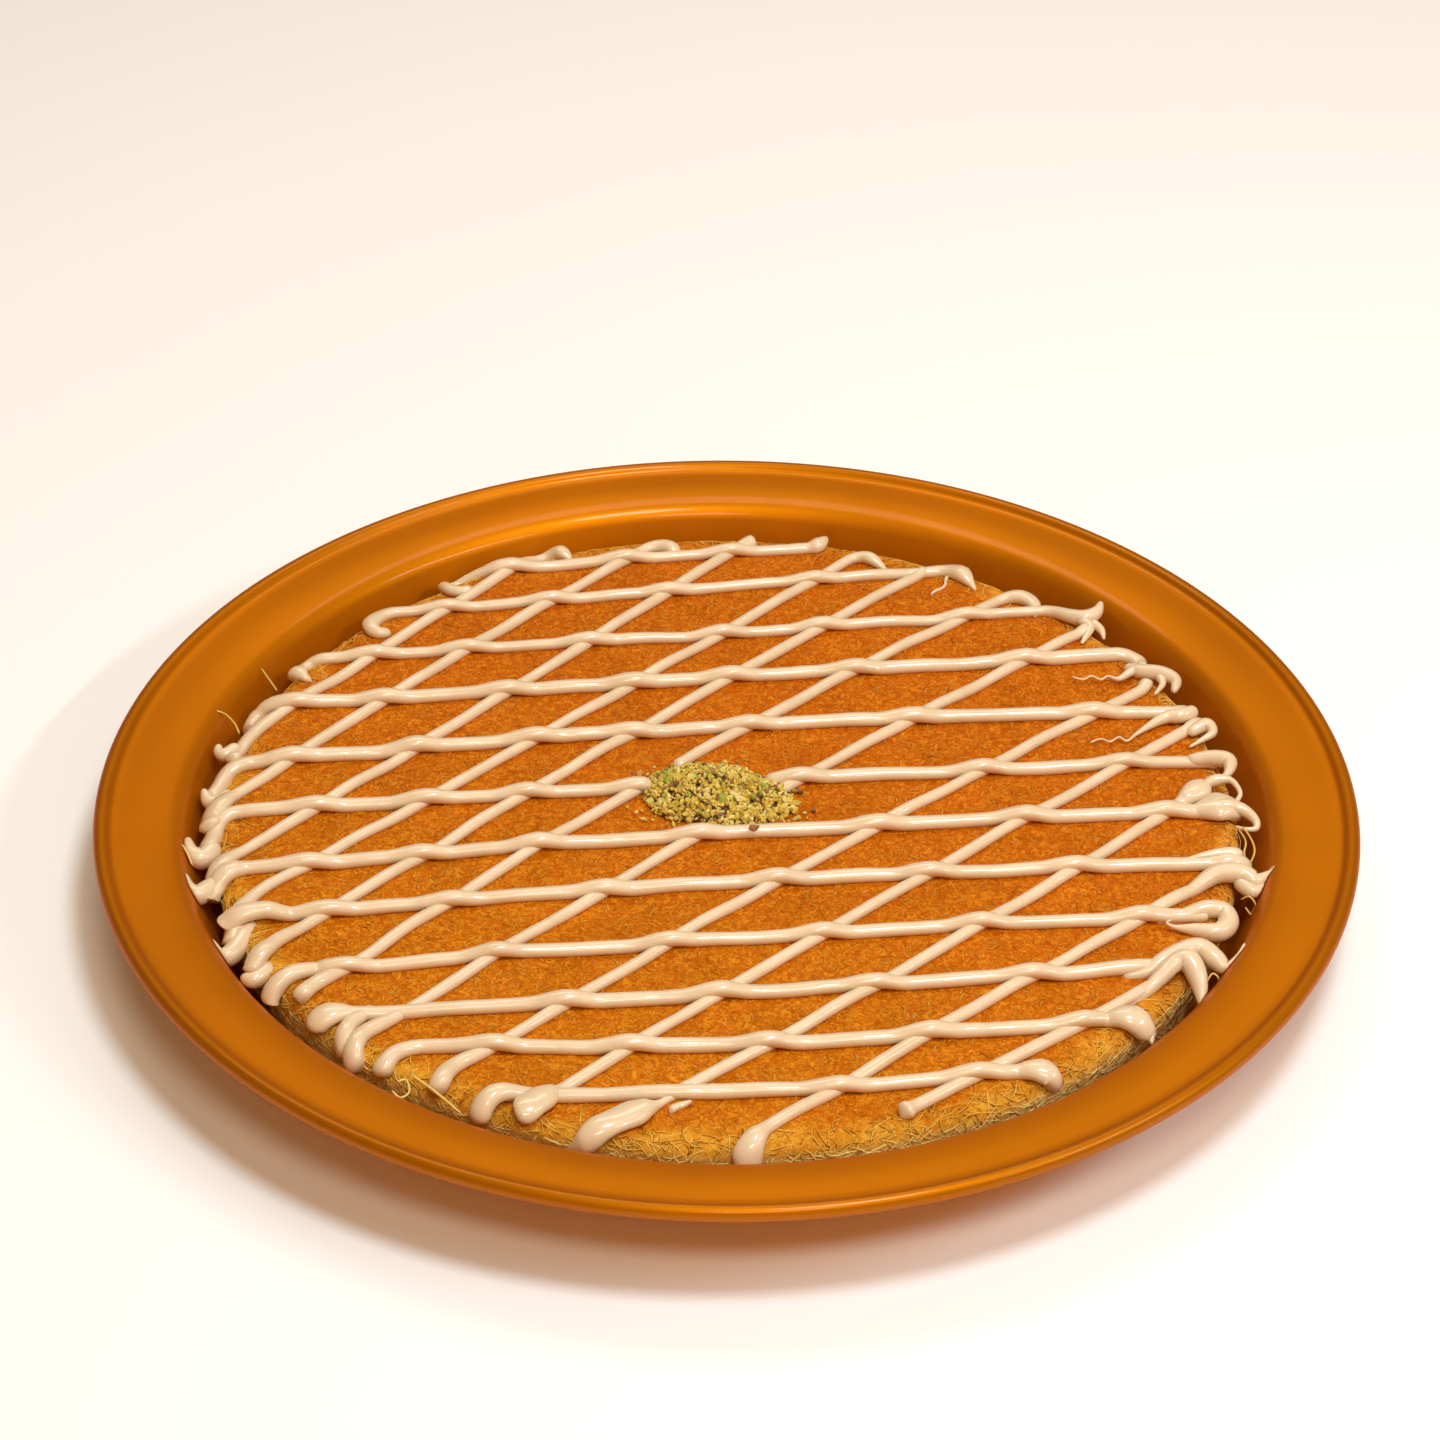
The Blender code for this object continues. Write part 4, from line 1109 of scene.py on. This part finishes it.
class KUNAFA_OT_pistachio(bpy.types.Operator):
    """Heap the chopped pistachio in the middle"""
    bl_idname = "kunafa.pistachio"
    bl_label = "Chopped pistachio"

    def execute(self, context):
        sizes = context.scene.kunafa_pistachio
        # Painted shade: the mound under the loose bits is coloured dark brown for the shade in the
        # gaps between them
        add_piece("pistachio_mound", *make_heap(sizes),
                  nut("pistachio_gaps_painted_shade", tones("5E3C10 7E5A1C")), "chopped_pistachio",
                  "pistachio_heap")
        # Each kind's share of the bits and its shades
        kinds = (
            ("pistachio_kernel", 0.56, "C2A032 D4B244 E0C258 CAA83A"),
            ("pistachio_pale", 0.24, "E4CC76 DCC466 ECD890"),
            ("pistachio_green", 0.07, "98A02C AAAE3A 8A9426"),
            ("pistachio_skin", 0.13, "8C5A34 7E5650 B07A3A 75504A"),
        )
        for number, (name, share, codes) in enumerate(kinds):
            draw = np.random.default_rng(41 + number)
            count = int(sizes.count * share)
            x, y, z = heap_places(draw, count, sizes)
            size = 1.1 + 2.1 * draw.beta(1.3, 2.6, count)
            z = z + size * draw.uniform(0.1, 0.5, count)
            if name == "pistachio_skin":
                # One big piece rolled onto the long line in front
                x[0], y[0], z[0], size[0] = 8.5, -17.0, PASTRY_TOP + 6.2, 3.2
            add_piece(name, *grains(draw, x, y, z, size), nut(name + "_chopped", tones(codes)),
                      "chopped_pistachio", smooth=False)
        return {"FINISHED"}


class KUNAFA_OT_stage(bpy.types.Operator):
    """Set the floor, the soft lights and the camera"""
    bl_idname = "kunafa.stage"
    bl_label = "Stage"

    def execute(self, context):
        sizes = context.scene.kunafa_stage
        scene = context.scene
        mesh = bpy.data.meshes.new("floor")
        half = 3.0
        mesh.from_pydata([(-half, -half, 0), (half, -half, 0), (half, half, 0), (-half, half, 0)],
                         [], [(0, 1, 2, 3)])
        mesh.materials.append(studio_floor(tuple(sizes.floor)))
        floor = bpy.data.objects.new("floor", mesh)
        scene.collection.objects.link(floor)
        cake = Vector((0, 0, 0.02))
        cool = (0.82, 0.92, 1.0)
        for name, place, size, power, tint in (
                ("key", (0.32, -0.3, 1.6), (0.4, 0.4), 14, cool),
                ("side", (1.0, -0.42, 1.0), (0.9, 0.05), 6, cool),
                ("front", (0.15, -1.0, 1.25), (0.5, 0.3), 5.5, (1.0, 0.88, 0.7)),
                ("back", (-0.1, 0.95, 1.6), (1.6, 0.5), 9, (0.92, 0.92, 0.86))):
            lamp = bpy.data.lights.new(name, "AREA")
            lamp.shape = "ELLIPSE"
            lamp.size, lamp.size_y = size
            lamp.energy, lamp.color = power, tint
            made = bpy.data.objects.new(name, lamp)
            made.location = place
            made.rotation_euler = (cake - Vector(place)).to_track_quat("-Z", "Y").to_euler()
            scene.collection.objects.link(made)
        scene.world = self.make_world()
        scene.view_settings.view_transform = "Standard"
        self.add_camera(scene, sizes)
        return {"FINISHED"}

    def make_world(self):
        """Warm light all round, as from a room, brighter low at the front, where it reaches the
        cake's side and the tray's wall. The key lamp is cool, so that only what it doesn't reach
        looks warm."""
        world = bpy.data.worlds.new("soft studio")
        world.use_nodes = True
        put = partial(add, world.node_tree)
        course = put("TexCoord", out="Generated")
        facing = put("VectorMath", {0: course, 1: (0.2, -0.97, 0.1)}, "Value",
                     operation="DOT_PRODUCT")
        strength = put("MapRange", {"Value": facing, "From Min": 0.4, "From Max": 1.0,
                                    "To Min": 0.28, "To Max": 0.7}, **SMOOTH)
        fill(world.node_tree, world.node_tree.nodes["Background"],
             {"Color": (1, 0.62, 0.30), "Strength": strength})
        return world

    def add_camera(self, scene, sizes):
        """The camera looks down at the tray from the front, turned a touch about its axis."""
        cos_pitch, sin_pitch = math.cos(sizes.pitch), math.sin(sizes.pitch)
        forward = Vector((0, cos_pitch, -sin_pitch))
        up = Vector((0, sin_pitch, cos_pitch))
        right = Vector((1, 0, 0))
        turned_right = math.cos(sizes.roll) * right + math.sin(sizes.roll) * up
        turned_up = math.cos(sizes.roll) * up - math.sin(sizes.roll) * right
        place = -forward * sizes.distance + turned_right * VIEW_SHIFT[0] \
            + turned_up * VIEW_SHIFT[1]
        place.z += FLANGE_END[1] * MM
        camera = bpy.data.objects.new("camera", bpy.data.cameras.new("camera"))
        camera.data.lens = sizes.lens
        camera.data.sensor_width = 36
        basis = Matrix((turned_right, turned_up, -forward)).transposed().to_4x4()
        camera.matrix_world = Matrix.Translation(place) @ basis
        scene.collection.objects.link(camera)
        scene.camera = camera


OPERATORS = (KUNAFA_OT_tray, KUNAFA_OT_pastry, KUNAFA_OT_drizzle, KUNAFA_OT_pistachio,
             KUNAFA_OT_stage)
SETTINGS = {"kunafa_tray": KunafaTraySettings, "kunafa_pastry": KunafaPastrySettings,
            "kunafa_drizzle": KunafaDrizzleSettings, "kunafa_pistachio": KunafaPistachioSettings,
            "kunafa_stage": KunafaStageSettings}


class KUNAFA_PT_panel(bpy.types.Panel):
    """Settings and steps for building the kunafa"""
    bl_label = "Kunafa"
    bl_idname = "KUNAFA_PT_panel"
    bl_space_type = "VIEW_3D"
    bl_region_type = "UI"
    bl_category = "Kunafa"

    def draw(self, context):
        for (name, group), operator in zip(SETTINGS.items(), OPERATORS):
            box = self.layout.box()
            for prop in group.__annotations__:
                box.prop(getattr(context.scene, name), prop)
            box.operator(operator.bl_idname)


def register():
    for group in SETTINGS.values():
        bpy.utils.register_class(group)
    for operator in (*OPERATORS, KUNAFA_PT_panel):
        bpy.utils.register_class(operator)
    for name, group in SETTINGS.items():
        setattr(bpy.types.Scene, name, PointerProperty(type=group))


def unregister():
    for name in SETTINGS:
        delattr(bpy.types.Scene, name)
    for operator in (KUNAFA_PT_panel, *reversed(OPERATORS)):
        bpy.utils.unregister_class(operator)
    for group in reversed(list(SETTINGS.values())):
        bpy.utils.unregister_class(group)


def main():
    register()
    bpy.ops.kunafa.tray()
    bpy.ops.kunafa.pastry()
    bpy.ops.kunafa.drizzle()
    bpy.ops.kunafa.pistachio()
    bpy.ops.kunafa.stage()


if __name__ == "__main__":
    main()
